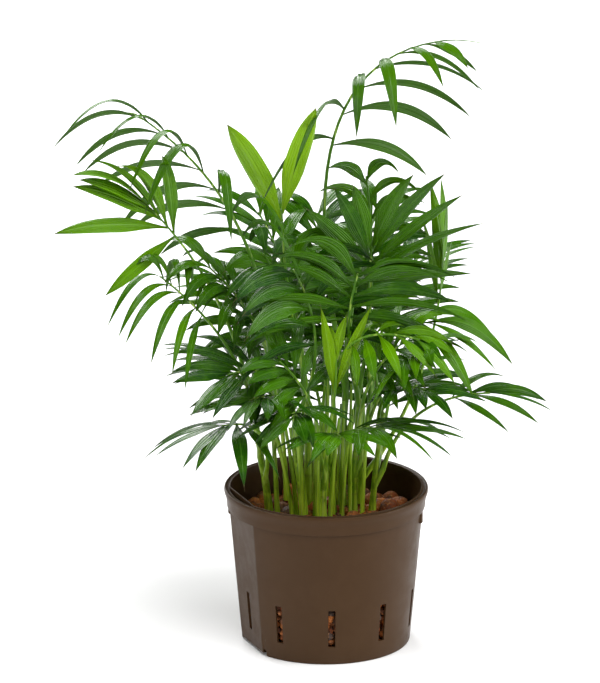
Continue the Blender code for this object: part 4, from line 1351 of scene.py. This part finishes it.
@dataclass(frozen=True)
class Studio:
    """The pale floor, soft light and camera."""

    target: tuple[float, float, float] = (-0.0192, 0.0, 0.2291)
    distance: float = 8.0
    elevation: float = math.radians(18)
    pixels_per_metre: float = 1366.7
    width: int = 600
    sensor: float = 36.0
    floor_half: float = 9.0
    floor_white: float = 0.93
    sun_angle: float = 58.0
    surround: float = 0.08

    def put(self, name: str, data: bpy.types.ID, place: tuple[float, ...],
            turn: tuple[float, float, float]) -> bpy.types.Object:
        """Puts a light or a camera into the scene, at a place and turned."""
        thing = bpy.data.objects.new(name, data)
        thing.location = place
        thing.rotation_euler = turn
        bpy.context.scene.collection.objects.link(thing)
        return thing

    def floor(self) -> None:
        """A wide pale floor under the pot."""
        surface = Surface()
        side = np.linspace(-self.floor_half, self.floor_half, 3)
        x, y = np.meshgrid(side, side)
        points = np.stack([x, y, np.zeros_like(x)], axis=-1).reshape(-1, 3)
        surface.add(points, grid_faces(3, 3, closed=False), points[:, :2])
        ground = surface.build("floor")
        paint = bpy.data.materials.new("pale_floor")
        paint.use_nodes = True
        shader = paint.node_tree.nodes["Principled BSDF"]
        shader.inputs["Base Color"].default_value = (*[self.floor_white] * 3, 1.0)
        shader.inputs["Roughness"].default_value = 0.9
        ground.data.materials.append(paint)

    def light(self, name: str, place: tuple[float, float, float], size: float, power: float) -> None:
        """A soft square light that looks at the plant."""
        lamp = bpy.data.lights.new(name, "AREA")
        lamp.size = size
        lamp.energy = power
        aim = np.array(self.target) - np.array(place)
        yaw = math.atan2(aim[1], aim[0]) - math.pi / 2
        pitch = math.atan2(aim[2], math.hypot(aim[0], aim[1])) + math.pi / 2
        self.put(name, lamp, place, (pitch, 0, yaw))

    def sun(self, heading: float, height: float, strength: float) -> None:
        """A broad soft key light that reaches the whole floor.

        Args:
            heading: Degrees from the front towards the left.
            height: Degrees above the floor.
            strength: Its power.
        """
        lamp = bpy.data.lights.new("key", "SUN")
        lamp.energy = strength
        lamp.angle = math.radians(self.sun_angle)
        self.put("key", lamp, (0, 0, 0), (math.radians(90 - height), 0, -math.radians(heading)))

    def sky(self) -> None:
        """An even white surround."""
        world = bpy.data.worlds.new("surround")
        world.use_nodes = True
        back = world.node_tree.nodes["Background"]
        back.inputs["Color"].default_value = (1.0, 1.0, 1.0, 1.0)
        back.inputs["Strength"].default_value = self.surround
        bpy.context.scene.world = world

    def camera(self) -> None:
        """The camera at the photo's angle: level with the front, 18 degrees above it."""
        shot = bpy.data.cameras.new("camera")
        shot.sensor_fit = "HORIZONTAL"
        shot.sensor_width = self.sensor
        shot.lens = self.pixels_per_metre * self.distance * self.sensor / self.width
        shot.clip_end = 50.0
        back = np.array([0.0, -math.cos(self.elevation), math.sin(self.elevation)])
        place = tuple(np.array(self.target) + back * self.distance)
        turn = (math.pi / 2 - self.elevation, 0.0, 0.0)
        bpy.context.scene.camera = self.put("camera", shot, place, turn)

    def build(self) -> None:
        """Sets up the studio, with colours shown as they are."""
        bpy.context.scene.view_settings.view_transform = "Standard"
        self.floor()
        self.sun(-40.0, 60.0, 3.5)
        self.light("fill", (-2.0, -1.4, 1.1), 1.2, 20.0)
        self.light("rim", (-0.7, 1.7, 1.5), 1.2, 46.0)
        self.light("side", (2.3, -0.3, 0.5), 0.9, 24.0)
        self.sky()
        self.camera()


def main() -> None:
    """Builds every piece and the studio."""
    logging.basicConfig(level=logging.INFO)
    effects = Effects()
    plastic = PlasticFinish("brown_plastic", colour=(0.054, 0.027, 0.011), patch=(0.075, 0.04, 0.019),
                            roughness=0.42, specular=0.12).make(effects)
    clay = ClayFinish("fired_clay", colour=(0.5, 0.15, 0.03), patch=(0.24, 0.06, 0.014),
                      roughness=0.6, specular=0.2).make(effects)
    cane = CaneFinish("cane", colour=(0.12, 0.3, 0.006), patch=(0.05, 0.15, 0.004),
                      roughness=0.34, specular=0.3).make(effects)
    leaves = {
        Tone.DARK: LeafFinish("leaf_dark", colour=(0.011, 0.068, 0.001), patch=(0.072, 0.22, 0.001),
                              roughness=0.17, specular=0.28, under=(0.06, 0.17, 0.012)),
        Tone.MID: LeafFinish("leaf_mid", colour=(0.028, 0.125, 0.001), patch=(0.1, 0.28, 0.001),
                             roughness=0.18, specular=0.3, under=(0.08, 0.22, 0.012)),
        Tone.LIGHT: LeafFinish("leaf_light", colour=(0.07, 0.22, 0.001), patch=(0.15, 0.36, 0.001),
                               roughness=0.2, specular=0.3, under=(0.12, 0.31, 0.012)),
        Tone.NEW: LeafFinish("leaf_new", colour=(0.16, 0.38, 0.002), patch=(0.25, 0.49, 0.003),
                             roughness=0.26, specular=0.3, under=(0.22, 0.44, 0.02)),
    }
    pot = Pot()
    canes = {plan.name: Cane(plan, 96 + GAP) for plan in CANES}
    pot.build(plastic)
    Pebbles(pot).build(canes, clay)
    Clump().build(canes, cane)
    Crown(canes).build(cane, {tone: leaf.make(effects) for tone, leaf in leaves.items()})
    Studio().build()


if __name__ == "__main__":
    main()
